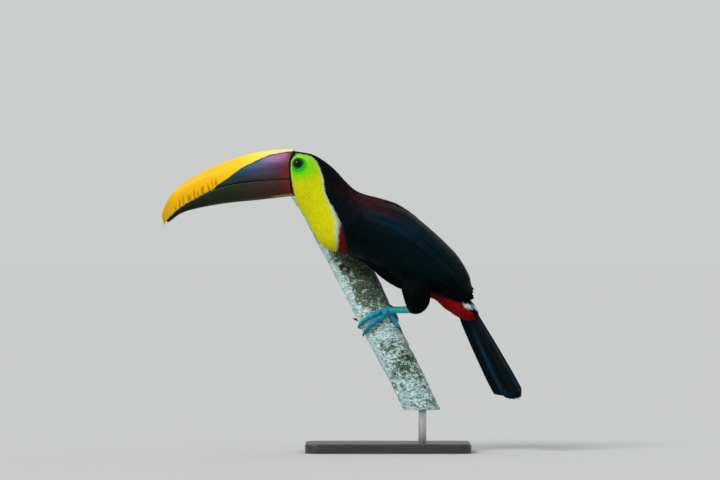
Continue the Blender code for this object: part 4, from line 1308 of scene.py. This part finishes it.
def hornPaint(name):
    paint = Paint(name, Specular_IOR_Level=0.09, Coat_Weight=0.05, Coat_Roughness=0.18)
    streak = paint.grain(0.010, 4.0, 0.6, stretch=(0.25, 1.0, 1.6))
    mottle = paint.grain(0.0045, 3.0, 0.6)
    fine = paint.grain(0.0007, 3.0, 0.7, stretch=(0.35, 1.0, 1.0))
    scratch = paint.grain(0.0011, 2.0, 0.5, stretch=(0.12, 1.0, 1.0)).step(0.60, 0.72)
    edge = paint.number("aboveBorder") + (streak - 0.5) * 2.2 + (mottle - 0.5) * 0.8
    yellow = edge.step(-0.5, 0.4)
    dark = paint.mix(streak.step(0.35, 0.7) * 0.45, paint.colour("darkHornWithReflection"), (0.5, 0.5, 0.5), "MULTIPLY")
    dark = paint.mix(mottle.step(0.55, 0.8) * 0.20, dark, (0.14, 0.10, 0.07))
    dark = paint.mix(edge.step(-2.2, -0.6) * 0.75, dark, (0.006, 0.008, 0.008))
    bright = paint.colour("brightHornWithHighlight")
    bright = paint.mix(streak.step(0.45, 0.8) * 0.30, bright, (0.95, 0.76, 0.40), "MULTIPLY")
    bright = paint.mix(mottle.step(0.58, 0.80) * 0.25, bright, (0.85, 0.66, 0.40), "MULTIPLY")
    near = paint.number("fromEdge")
    strokes = paint.number("stroke") * (0.65 + mottle.step(0.35, 0.60) * 0.35)
    bright = paint.mix(strokes * 0.80, bright, (0.29, 0.100, 0.002))
    bright = paint.mix((1 - near.step(0.6, 2.0)) * 0.6, bright, (0.86, 0.70, 0.24))
    tone = paint.mix(yellow, dark, bright)
    # painted shade in the slit between the mandibles: a thin dark line along the cutting edge
    tone = paint.mix((1 - near.step(0.05, 0.45)) * 0.15, tone, (0.020, 0.014, 0.008))
    base = paint.number("fromBase")
    low = 1 - near.step(10.0, 26.0)
    rust = ((1 - base.step(2.0, 7.5)) * 0.65 + (1 - base.step(4.0, 21.0)) * low * 0.5) * (1 - yellow)
    tone = paint.mix(rust, tone, (0.150, 0.016, 0.012))
    keel = paint.number("fromKeel")
    cream = (1 - abs(keel - 2.0).step(0.5, 1.1)) * (1 - base.step(20.0, 34.0))
    tone = paint.mix(cream * 0.65, tone, (0.42, 0.36, 0.16))
    # painted shade: black along the underside of the lower mandible near its base
    tone = paint.mix((1 - keel.step(0.6, 1.4)) * (1 - base.step(26.0, 38.0)), tone, (0.008, 0.009, 0.006))
    tone = paint.mix(1 - base.step(0.5, 1.1), tone, (0.008, 0.007, 0.007))
    growth = (base * 1.5 + streak * 9).sine() * 0.5 + 0.5
    bump = paint.bumped(fine * 0.5 + growth * 0.25 + scratch * -0.6 + mottle * 0.5, 0.00022, 0.55)
    rough = 0.30 + mottle * 0.14 + scratch * 0.18 + strokes * 0.1
    paint.wear(Base_Color=tone, Roughness=rough, Normal=bump)
    return paint


hornFinish = hornPaint("billHorn")
done(makeMandible("billUpper", True), hornFinish, "bill_yellow", "bill_upper")
done(makeMandible("billLower", False), hornFinish, "bill_dark", "bill_lower")
print("bill ready")


eyeLook = {
    "pupil": 2.7,  # mm
    "iris": 5.3,
    "fibres": 31,  # round the iris
    "bulge": 0.35,  # of the cornea, ending this far from the middle
    "bulgeReach": 4.6,
    "flat": 0.58,  # how much of its height the ball keeps in front of this distance from its middle
    "flatFrom": 3.9,
    "lidRadius": 6.2,
    "lidThick": 0.62,
    "lidSteps": (120, 16),  # round the ring and round its edge
    "folds": 17,  # round the lid, and their height
    "foldHeight": 0.10,
}


def makeEye(word):
    add = bpy.ops.mesh.primitive_uv_sphere_add
    ball = addedPiece("eye" + word.title(), add, segments=64, ring_count=48, radius=eyeRadius)
    gaze = gazes[word]
    turn = Vector((0, 0, 1)).rotation_difference(Vector(gaze)).to_matrix()
    points = pointsOf(ball) @ np.array(turn).T
    r = np.linalg.norm(points - (points @ gaze)[:, None] * gaze, axis=1) / mm
    high = points @ gaze / mm
    front = high > 0
    low = np.maximum(high - eyeLook["flatFrom"], 0) * (eyeLook["flat"] - 1)
    points = points + np.outer(low * mm, gaze)
    cornea = eyeLook["bulge"] * (1 - ease(0.4, eyeLook["bulgeReach"], r)) * front
    setPoints(ball, points + gaze * (cornea * mm)[:, None] + eyeMiddle[word])
    numberPoints(ball, "fromPupil", np.where(front, r, 9))
    around = np.arctan2(points[:, 2], points[:, 0])
    numberPoints(ball, "fibres", np.sin(around * eyeLook["fibres"] + 2 * np.sin(around * 7)) * 0.5 + 0.5)
    return smoothShaded(ball)


def makeLid(word):  # a soft ring of bare skin round the opening
    gaze = gazes[word]
    facing = Vector(gaze).to_track_quat("Z", "Y").to_euler()
    reach = math.sqrt((eyeRadius / mm) ** 2 - eyeLook["lidRadius"] ** 2) + 0.05
    steps, edgeSteps = eyeLook["lidSteps"]
    lid = addedPiece("eyelid" + word.title(), bpy.ops.mesh.primitive_torus_add, rotation=facing,
                     major_segments=steps, minor_segments=edgeSteps,
                     major_radius=eyeLook["lidRadius"] * mm, minor_radius=eyeLook["lidThick"] * mm)
    bpy.ops.object.transform_apply(location=False, rotation=True, scale=False)
    points = pointsOf(lid)
    flat = points - np.outer(points @ gaze, gaze)
    r = np.linalg.norm(flat, axis=1) / mm
    away = unit(flat)
    angle = np.arctan2(flat[:, 2], flat[:, 0])
    folds = np.sin(angle * eyeLook["folds"] + 2 * np.sin(angle * 3)) * ease(5.9, 6.6, r)
    folds = folds * eyeLook["foldHeight"]
    wide = 1 + 0.02 * np.cos(2 * angle)
    points = points + away * ((r * (wide - 1) + folds * 0.6) * mm)[:, None] + np.outer(folds * mm, gaze)
    setPoints(lid, points + eyeMiddle[word] + gaze * reach * mm)
    numberPoints(lid, "outward", r)
    return smoothShaded(lid)


def lidPaint():
    paint = Paint("eyelidSkin", Specular_IOR_Level=0.2, Roughness=0.5)
    pores = paint.cells(0.0006)
    fine = paint.grain(0.0005, 3.0, 0.7)
    edge = paint.number("outward") + (fine - 0.5) * 0.5
    tone = paint.mix(edge.step(5.45, 6.15), (0.0015, 0.0080, 0.0020), (0.006, 0.26, 0.006))
    tone = paint.mix(pores.step(0.1, 0.7) * 0.5, tone, (0.55, 0.7, 0.4), "MULTIPLY")
    paint.wear(Base_Color=tone, Normal=paint.bumped(pores * 0.6 + fine * 0.5, 0.0002, 0.7))
    return paint


def eyePaint():
    paint = Paint("wetEye", Coat_Weight=0.16, Coat_Roughness=0.03, Roughness=0.15, Specular_IOR_Level=0.08)
    r = paint.number("fromPupil")
    fibres = paint.number("fibres") * 0.5 + paint.grain(0.0008, 3.0) * 0.7
    iris = paint.mix(fibres.step(0.25, 0.9), (0.002, 0.004, 0.005), (0.008, 0.014, 0.014))
    tone = paint.mix(r.step(eyeLook["pupil"] - 0.15, eyeLook["pupil"] + 0.2), (0.001, 0.001, 0.001), iris)
    tone = paint.mix(r.step(eyeLook["iris"] - 0.8, eyeLook["iris"]), tone, (0.002, 0.012, 0.004))
    paint.wear(Base_Color=tone)
    return paint


eyeFinish, lidFinish = eyePaint(), lidPaint()
for side, word in sides:
    done(makeEye(word), eyeFinish, "eye", "eye_" + word)
    done(makeLid(word), lidFinish, "face_skin")
print("eyes ready")


perchRows = (  # x, y, z, radius from the cut top to the cut foot (mm)
    (-114, 78, 341, 17.5), (-94, 71, 311.1, 18), (-66, 58.5, 262.9, 20.3), (-39.4, 39, 221, 23.6),
    (-7.6, 11, 154.9, 22.6), (24, -3, 93, 21), (47.5, -10, 46, 20.6),
)
perch = {
    "footZ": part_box("perch")[0].z / mm,
    "length": 330,
    "samples": 301,  # of its middle line, and how far apart they lie
    "spacing": 1.05,
    "around": 168,
    "gripZ": (140, 196),  # the bark is kept to its measured size here, under the toes
    "gripLoss": 0.72,
    # heights of the bark's forms, then their noise: size of a spot (m), octaves, seed
    "lump": 0.9,
    "ripple": 0.45,
    "crust": 0.55,
    "crack": 0.7,
    "lumpNoise": (0.030, 2, 3.0),
    "rippleNoise": (0.0075, 3, 9.0),
    "crustNoise": (0.011, 4, 21.0),
    "crackNoise": (0.0050, 2, 31.0),
    "cracksFade": (230, 120),  # none above the first height, full below the second
    "sunk": 0.15,  # how deep the whole bark is set
    "barkThick": 1.6,  # the rim of the sawn ends
    # knots: height, angle from the near side, radius, rise
    "knots": ((232.5, -19.0, 5.6, 1.8), (120.0, 30.0, 4.5, 0.9), (85.0, -60.0, 5.0, 1.0),
              (296.0, 60.0, 5.0, 1.2)),
    # mossy stretches: heights where one begins, is full, thins and ends, and its strength
    "moss": ((176, 196, 252, 275, 1.0), (80, 105, 128, 150, 0.45)),
}
perchLine = smoothRows(perchRows, np.linspace(0, len(perchRows) - 1, perch["samples"]))
perchAlong = unit(np.gradient(perchLine[:, :3], axis=0))
perchNear = unit(np.array((0.0, -1.0, 0.0)) + perchAlong * perchAlong[:, 1:2])
perchRight = np.cross(perchNear, perchAlong)


def roundPerch(points):
    # for points in metres: index along the perch, angle round it and distance from its middle
    spots = points / mm
    index = abs(spots[:, None] - perchLine[None, ::4, :3]).sum(2).argmin(1) * 4
    for _ in range(3):
        step = ((spots - perchLine[index, :3]) * perchAlong[index]).sum(1)
        index = np.clip(index + np.round(step / perch["spacing"]).astype(int), 0, len(perchLine) - 1)
    off = spots - perchLine[index, :3]
    near, right = (off * perchNear[index]).sum(1), (off * perchRight[index]).sum(1)
    return index, np.arctan2(right, near), np.hypot(near, right)


def fromKnots(angle, z, radius):  # for each knot: distance from its middle along the bark, radius, rise
    for knotZ, knotAngle, size, rise in perch["knots"]:
        gap = (angle - math.radians(knotAngle) + math.pi) % (2 * math.pi) - math.pi
        yield np.hypot(gap * radius, (z - knotZ) * 1.12), size, rise


def makePerch():
    steps = perch["samples"] + 3  # two more rows close the cut top and one the foot

    def place(u, v):
        along = np.clip((v * steps - 2) / perch["samples"], 0, 1)
        x, y, z, radius = smoothRows(perchRows, along * (len(perchRows) - 1)).T
        index = np.round(along * (perch["samples"] - 1)).astype(int)
        angle = u * 2 * math.pi
        ring = perchNear[index] * np.cos(angle)[:, None] + perchRight[index] * np.sin(angle)[:, None]
        centre = np.stack([x, y, z], 1)
        seen = centre + ring * 20  # the pattern's own place, the same all round a seam
        lumps = crumpled(seen * mm, *perch["lumpNoise"]) * perch["lump"]
        ripples = crumpled(seen * mm, *perch["rippleNoise"]) * perch["ripple"]
        crust = ease(0.02, 0.22, crumpled(seen * mm, *perch["crustNoise"])) * perch["crust"]
        bands = np.stack([seen[:, 0] * 0.25, seen[:, 1] * 0.25, along * perch["length"]], 1) * mm
        cracks = ease(0.16, 0.42, abs(crumpled(bands, *perch["crackNoise"]))) * perch["crack"]
        height = lumps + ripples + crust - cracks * ease(*perch["cracksFade"], z) * 0.6
        for away, size, rise in fromKnots(angle, z, radius):
            rim = np.exp(-(((away - size) / (size * 0.45)) ** 2))
            hollow = 1 - ease(0.2 * size, 0.8 * size, away)
            height += rise * rim - rise * 1.5 * hollow
        low, high = perch["gripZ"]
        grip = ease(low - 12, low, z) * (1 - ease(high, high + 12, z))
        height = height * (1 - perch["gripLoss"] * grip) - perch["sunk"]
        full = centre + ring * (radius + height)[:, None]
        mouth = centre + ring * (radius - perch["barkThick"])[:, None]
        full = np.where((v < 1.5 / steps)[:, None], mouth, full)
        inner = (v < 0.5 / steps) | (v > (steps - 0.5) / steps)
        return np.where(inner[:, None], centre, full) * mm

    piece = wrappedGrid("perchBark", perch["around"], steps, place)
    editAll(piece)
    foot = (0, 0, perch["footZ"] * mm)
    bpy.ops.mesh.bisect(plane_co=foot, plane_no=(0, 0, -1), use_fill=True, clear_outer=True)
    bpy.ops.object.mode_set(mode="OBJECT")
    barked = len(piece.data.vertices)  # later corners belong to the sawn foot alone
    bpy.ops.object.mode_set(mode="EDIT")
    bpy.ops.mesh.inset(thickness=perch["barkThick"] * mm)
    bpy.ops.mesh.poke()
    bpy.ops.object.mode_set(mode="OBJECT")
    smoothShaded(piece, 50)
    points = pointsOf(piece)
    index, angle, off = roundPerch(points)
    z = points[:, 2] / mm
    raised = off - perchLine[index, 3]
    below = (points / mm - perchLine[0, :3]) @ perchAlong[0]  # how far under the cut top
    sawn = ((raised < -1.45) & (below < 0.2)) | (np.arange(len(z)) >= barked)
    numberPoints(piece, "raised", np.where(sawn, 0, raised))
    numberPoints(piece, "sawn", sawn)
    numberPoints(piece, "fromPith", off)
    knotRim, knotCore = np.zeros((2, len(z)))
    for away, size, _ in fromKnots(angle, z, perchLine[index, 3]):
        knotRim = np.maximum(knotRim, np.exp(-(((away / size - 0.72) / 0.26) ** 2)))
        knotCore = np.maximum(knotCore, 1 - ease(0.25, 0.50, away / size))
    numberPoints(piece, "knotRim", knotRim)
    numberPoints(piece, "knotCore", knotCore)
    # darker bark toward the right of the near side is painted shade; the stretches along the height are moss
    side = ease(-0.95, -0.1, angle) * (1 - ease(1.6, 2.8, angle))
    mossy = np.zeros(len(z))
    for begins, full, thins, ends, strength in perch["moss"]:
        mossy += strength * ease(begins, full, z) * (1 - ease(thins, ends, z))
    numberPoints(piece, "mossy", side * (0.25 + 0.75 * mossy) + 0.10 * mossy)
    numberPoints(piece, "shaded", ease(-1.05, -0.35, angle) + (1 - ease(-2.9, -2.2, angle)))
    return piece


def barkPaint():
    paint = Paint("lichenBark", Specular_IOR_Level=0.2)
    big = paint.grain(0.020, 4.0, 0.6)
    patch = paint.grain(0.0065, 6.0, 0.8)
    speck = paint.grain(0.0024, 5.0, 0.8)
    grit = paint.grain(0.0008, 3.0, 0.7)
    cells = paint.cells(0.0042)
    raised, mossy = paint.number("raised"), paint.number("mossy")
    shaded = paint.number("shaded")
    lichen = paint.mix(patch.step(0.42, 0.62), (0.58, 0.84, 0.87), (0.28, 0.45, 0.41))
    lichen = paint.mix(speck.step(0.49, 0.64) * 0.80, lichen, (0.86, 1.0, 1.0))
    lichen = paint.mix(grit.step(0.45, 0.75) * 0.35, lichen, (0.76, 0.86, 0.82))
    bark = paint.mix(speck.step(0.35, 0.7), (0.022, 0.034, 0.010), (0.115, 0.155, 0.058))
    bark = paint.mix(big.step(0.45, 0.62) * 0.4, bark, (0.024, 0.052, 0.028))
    crumbs = paint.grain(0.0019, 5.0, 0.75)
    bark = paint.mix(crumbs.step(0.50, 0.60) * 0.60, bark, (0.26, 0.39, 0.33))
    bark = paint.mix((1 - crumbs.step(0.36, 0.44)) * 0.7, bark, (0.010, 0.013, 0.006))
    dark = patch * 0.72 + big * 0.50 + speck * 0.90 + crumbs * 0.40
    # mossy and shaded darken the branch's right side: painted shade over its real mossy stretches
    dark = dark + mossy * 0.28 + shaded * 0.05 - raised * 0.06
    tone = paint.mix(dark.step(1.43, 1.54), lichen, bark)
    lines = (1 - cells.step(0.10, 0.24)) * speck.step(0.42, 0.60) * 0.7
    tone = paint.mix(lines * (0.35 + shaded * 0.65), tone, (0.045, 0.055, 0.028))
    dash = paint.grain(0.0030, 4.0, 0.7, stretch=(0.5, 0.5, 1.9)).step(0.54, 0.62)
    flecks = paint.grain(0.0013, 3.0, 0.6, stretch=(0.6, 0.6, 1.5)).step(0.56, 0.64)
    tone = paint.mix(dash * (0.25 + shaded * 0.60), tone, (0.030, 0.038, 0.020))
    tone = paint.mix(flecks * (0.20 + shaded * 0.55), tone, (0.020, 0.024, 0.016))
    tone = paint.mix(big.step(0.50, 0.66) * patch.step(0.45, 0.6) * 0.4, tone, (0.10, 0.14, 0.030))
    tone = paint.mix(paint.number("knotRim") * 0.92, tone, (0.016, 0.013, 0.008))
    tone = paint.mix(paint.number("knotCore") * 0.75, tone, (0.42, 0.40, 0.32))
    pith = paint.number("fromPith")
    rings = (pith * 4.6 + (big + patch) * 9).sine() * 0.5 + 0.5
    wood = paint.mix(rings.step(0.25, 1.0) * (0.25 + patch * 0.9), (0.41, 0.30, 0.175), (0.25, 0.165, 0.085))
    wood = paint.mix(speck.step(0.40, 0.70) * 0.45, wood, (0.50, 0.39, 0.25))
    wood = paint.mix(big.step(0.45, 0.70) * 0.35, wood, (0.24, 0.20, 0.15))
    wood = paint.mix((1 - pith.step(0.5, 1.6)) * 0.6, wood, (0.12, 0.070, 0.032))
    sawn = paint.number("sawn").step(0.45, 0.55)
    tone = paint.mix(sawn, tone, wood)
    relief = (speck * 0.8 + grit * 0.5 + cells * 0.6 - dash * 0.6) * (1 - sawn) + rings * sawn * 0.15
    paint.wear(Base_Color=tone, Roughness=0.80 + grit * 0.15, Normal=paint.bumped(relief, 0.0014, 0.9))
    return paint


done(makePerch(), barkPaint(), "bark", "perch")
print("perch ready")


legs = {
    "voxel": 0.55,
    "ankle": (31.0, 25.4, 181.0),  # where the shank comes out of the thigh, on the bird's near side
    "toeFrom": (12.5, 9.5),  # distances from the bark where the foot begins and where it is all toe
    "scuteLength": 2.7,  # along a toe (mm)
    "shankScute": 3.4,
    "groove": 0.30,
    "swell": 0.25,  # how far the scales stand out from the bare leg
    "fill": 0.15,
    "knuckle": 0.45,
    "knuckleEvery": 9.5,
    "pebble": 0.35,
    "clawSwell": 0.12,
}


def heelOf(word):  # where shank and toes meet
    low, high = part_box("shank_" + word)
    return np.array((low.x, (low.y + high.y) / 2, (low.z + high.z) / 2))


def makeLeg(side, word):
    leg = nodeCopy("leg" + word.title(), ["shank_" + word, "foot_" + word])
    applied(leg, "DISPLACE", strength=legs["swell"] * mm, mid_level=0.0)
    applied(leg, "REMESH", mode="VOXEL", voxel_size=legs["voxel"] * mm)
    applied(leg, "SMOOTH", factor=0.5, iterations=6)
    points, normals = pointsOf(leg), normalsOf(leg)
    index, angle, off = roundPerch(points)
    reach, near = legs["toeFrom"]
    toe = 1 - ease(near, reach, off - perchLine[index, 3])
    x, y, z = legs["ankle"]
    ankle = np.array((x, side * y, z)) * mm
    onShank = (points - ankle) @ unit(ankle - heelOf(word)) / mm / legs["shankScute"]
    along = angle * off
    phase = (onShank + (along / legs["scuteLength"] - onShank) * toe) % 1
    outward = (unit(points / mm - perchLine[index, :3]) * normals).sum(1)
    upper = ease(-0.15, 0.35, outward)
    groove = np.exp(-((np.minimum(phase, 1 - phase) * 5.5) ** 2)) * (0.35 + 0.65 * upper)
    pads = (1 - upper) * toe
    knuckle = np.exp(-(((along / legs["knuckleEvery"] % 1 - 0.5) / 0.17) ** 2)) * toe
    pebbles = crumpled(points, 0.0011, 2, 5.0) * legs["pebble"]
    height = legs["fill"] - legs["groove"] * groove + pads * pebbles + knuckle * legs["knuckle"]
    setPoints(leg, points + normals * (height * mm)[:, None])
    numberPoints(leg, "groove", groove)
    numberPoints(leg, "sole", pads)
    numberPoints(leg, "toe", toe)
    numberPoints(leg, "knuckle", knuckle)
    return smoothShaded(leg)


def scalePaint():
    paint = Paint("blueScales", Specular_IOR_Level=0.18, Subsurface_Weight=0.05, Subsurface_Scale=0.001)
    patchy = paint.grain(0.005, 4.0, 0.65)
    fine = paint.grain(0.0008, 3.0, 0.7)
    toe, sole, groove = paint.number("toe"), paint.number("sole"), paint.number("groove")
    shank = paint.mix(patchy.step(0.40, 0.66), (0.005, 0.30, 0.23), (0.008, 0.34, 0.36))
    digit = paint.mix(patchy.step(0.36, 0.62), (0.004, 0.37, 0.48), (0.002, 0.16, 0.34))
    tone = paint.mix(toe, shank, digit)
    tone = paint.mix(paint.number("knuckle") * 0.5, tone, (0.004, 0.40, 0.50))
    tone = paint.mix(fine.step(0.5, 0.8) * 0.30, tone, (0.04, 0.50, 0.56))
    tone = paint.mix(groove.step(0.25, 0.9) * 0.75, tone, (0.002, 0.050, 0.120))
    tone = paint.mix(sole * 0.75, tone, (0.10, 0.20, 0.12))
    cells = paint.cells(0.0011)
    bump = paint.bumped(fine * 0.6 + cells * 0.5, 0.00025, 0.6)
    paint.wear(Base_Color=tone, Roughness=0.46 + fine * 0.15, Normal=bump)
    return paint


def clawPaint():
    paint = Paint("clawHorn", Specular_IOR_Level=0.5, Coat_Weight=0.2, Coat_Roughness=0.2)
    streak = paint.grain(0.0016, 4.0, 0.6)
    tone = paint.mix(streak.step(0.35, 0.75), (0.014, 0.013, 0.014), (0.070, 0.064, 0.060))
    paint.wear(Base_Color=tone, Roughness=0.28 + streak * 0.2, Normal=paint.bumped(streak, 0.0002, 0.4))
    return paint


scaleFinish, clawFinish = scalePaint(), clawPaint()
for side, word in sides:
    done(makeLeg(side, word), scaleFinish, "blue_scale", "shank_" + word, "foot_" + word)
    for toe in ("inner_front", "outer_front", "outer_hind", "inner_hind"):
        node = f"claw_{toe}_{word}"
        claw = nodeCopy("smooth_" + node, [node])
        applied(claw, "DISPLACE", strength=legs["clawSwell"] * mm, mid_level=0.0)
        applied(claw, "SUBSURF", levels=3, render_levels=3)
        done(smoothShaded(claw), clawFinish, "claw", node)
print("legs ready")


stand = {
    "cornerRadius": 18,  # of the base, seen from above
    "cornerSteps": 14,
    "edge": 2.4,  # round its upper rim
    "edgeSteps": 6,
    "rodEdge": 0.5,
    "rodSteps": 3,
}


def rounded(shape, edges, radius, steps):
    bmesh.ops.bevel(shape, geom=edges, offset=radius * mm, segments=steps, affect="EDGES", profile=0.5)


def makeBase():
    low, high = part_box("stand_base")
    base = addedPiece("standBase", bpy.ops.mesh.primitive_cube_add, size=1)
    setPoints(base, (pointsOf(base) + 0.5) * np.array(high - low) + np.array(low))
    shape = bmesh.new()
    shape.from_mesh(base.data)
    upright = [e for e in shape.edges if abs(e.verts[0].co.z - e.verts[1].co.z) > 0.001]
    rounded(shape, upright, stand["cornerRadius"], stand["cornerSteps"])
    rim = [e for e in shape.edges if all(v.co.z > high.z - 1e-5 for v in e.verts) and e.calc_face_angle() > 1]
    rounded(shape, rim, stand["edge"], stand["edgeSteps"])
    shape.to_mesh(base.data)
    shape.free()
    smoothShaded(base, 35)
    paint = Paint("blackPaint", Coat_Weight=0.15, Coat_Roughness=0.3)
    grain = paint.grain(0.006, 4.0, 0.6, stretch=(0.08, 1.0, 1.0))
    dust = paint.grain(0.0016, 3.0, 0.7)
    tone = paint.mix(grain.step(0.4, 0.7), (0.016, 0.016, 0.017), (0.034, 0.033, 0.032))
    tone = paint.mix(dust.step(0.62, 0.80) * 0.3, tone, (0.09, 0.09, 0.085))
    bump = paint.bumped(grain * 0.8 + dust * 0.2, 0.0003, 0.5)
    paint.wear(Base_Color=tone, Roughness=0.38 + grain * 0.16, Normal=bump)
    done(base, paint, "stand_paint", "stand_base")


def makeRod():
    low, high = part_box("stand_rod")
    rod = addedPiece("standRod", bpy.ops.mesh.primitive_cylinder_add, vertices=64,
                     radius=(high.x - low.x) / 2, depth=high.z - low.z)
    setPoints(rod, pointsOf(rod) + np.array(low + high) / 2)
    applied(rod, "BEVEL", width=stand["rodEdge"] * mm, segments=stand["rodSteps"], limit_method="ANGLE")
    smoothShaded(rod, 40)
    paint = Paint("brushedSteel", Metallic=1.0)
    lines = paint.grain(0.0009, 3.0, 0.6, stretch=(0.3, 0.3, 3.0))
    smear = paint.grain(0.012, 3.0, 0.6)
    tone = paint.mix(smear.step(0.3, 0.7), (0.50, 0.50, 0.51), (0.62, 0.62, 0.62))
    rough = 0.26 + lines * 0.14 + smear * 0.08
    paint.wear(Base_Color=tone, Roughness=rough, Normal=paint.bumped(lines, 0.0001, 0.4))
    done(rod, paint, "steel", "stand_rod")


makeBase()
makeRod()
print("stand ready")
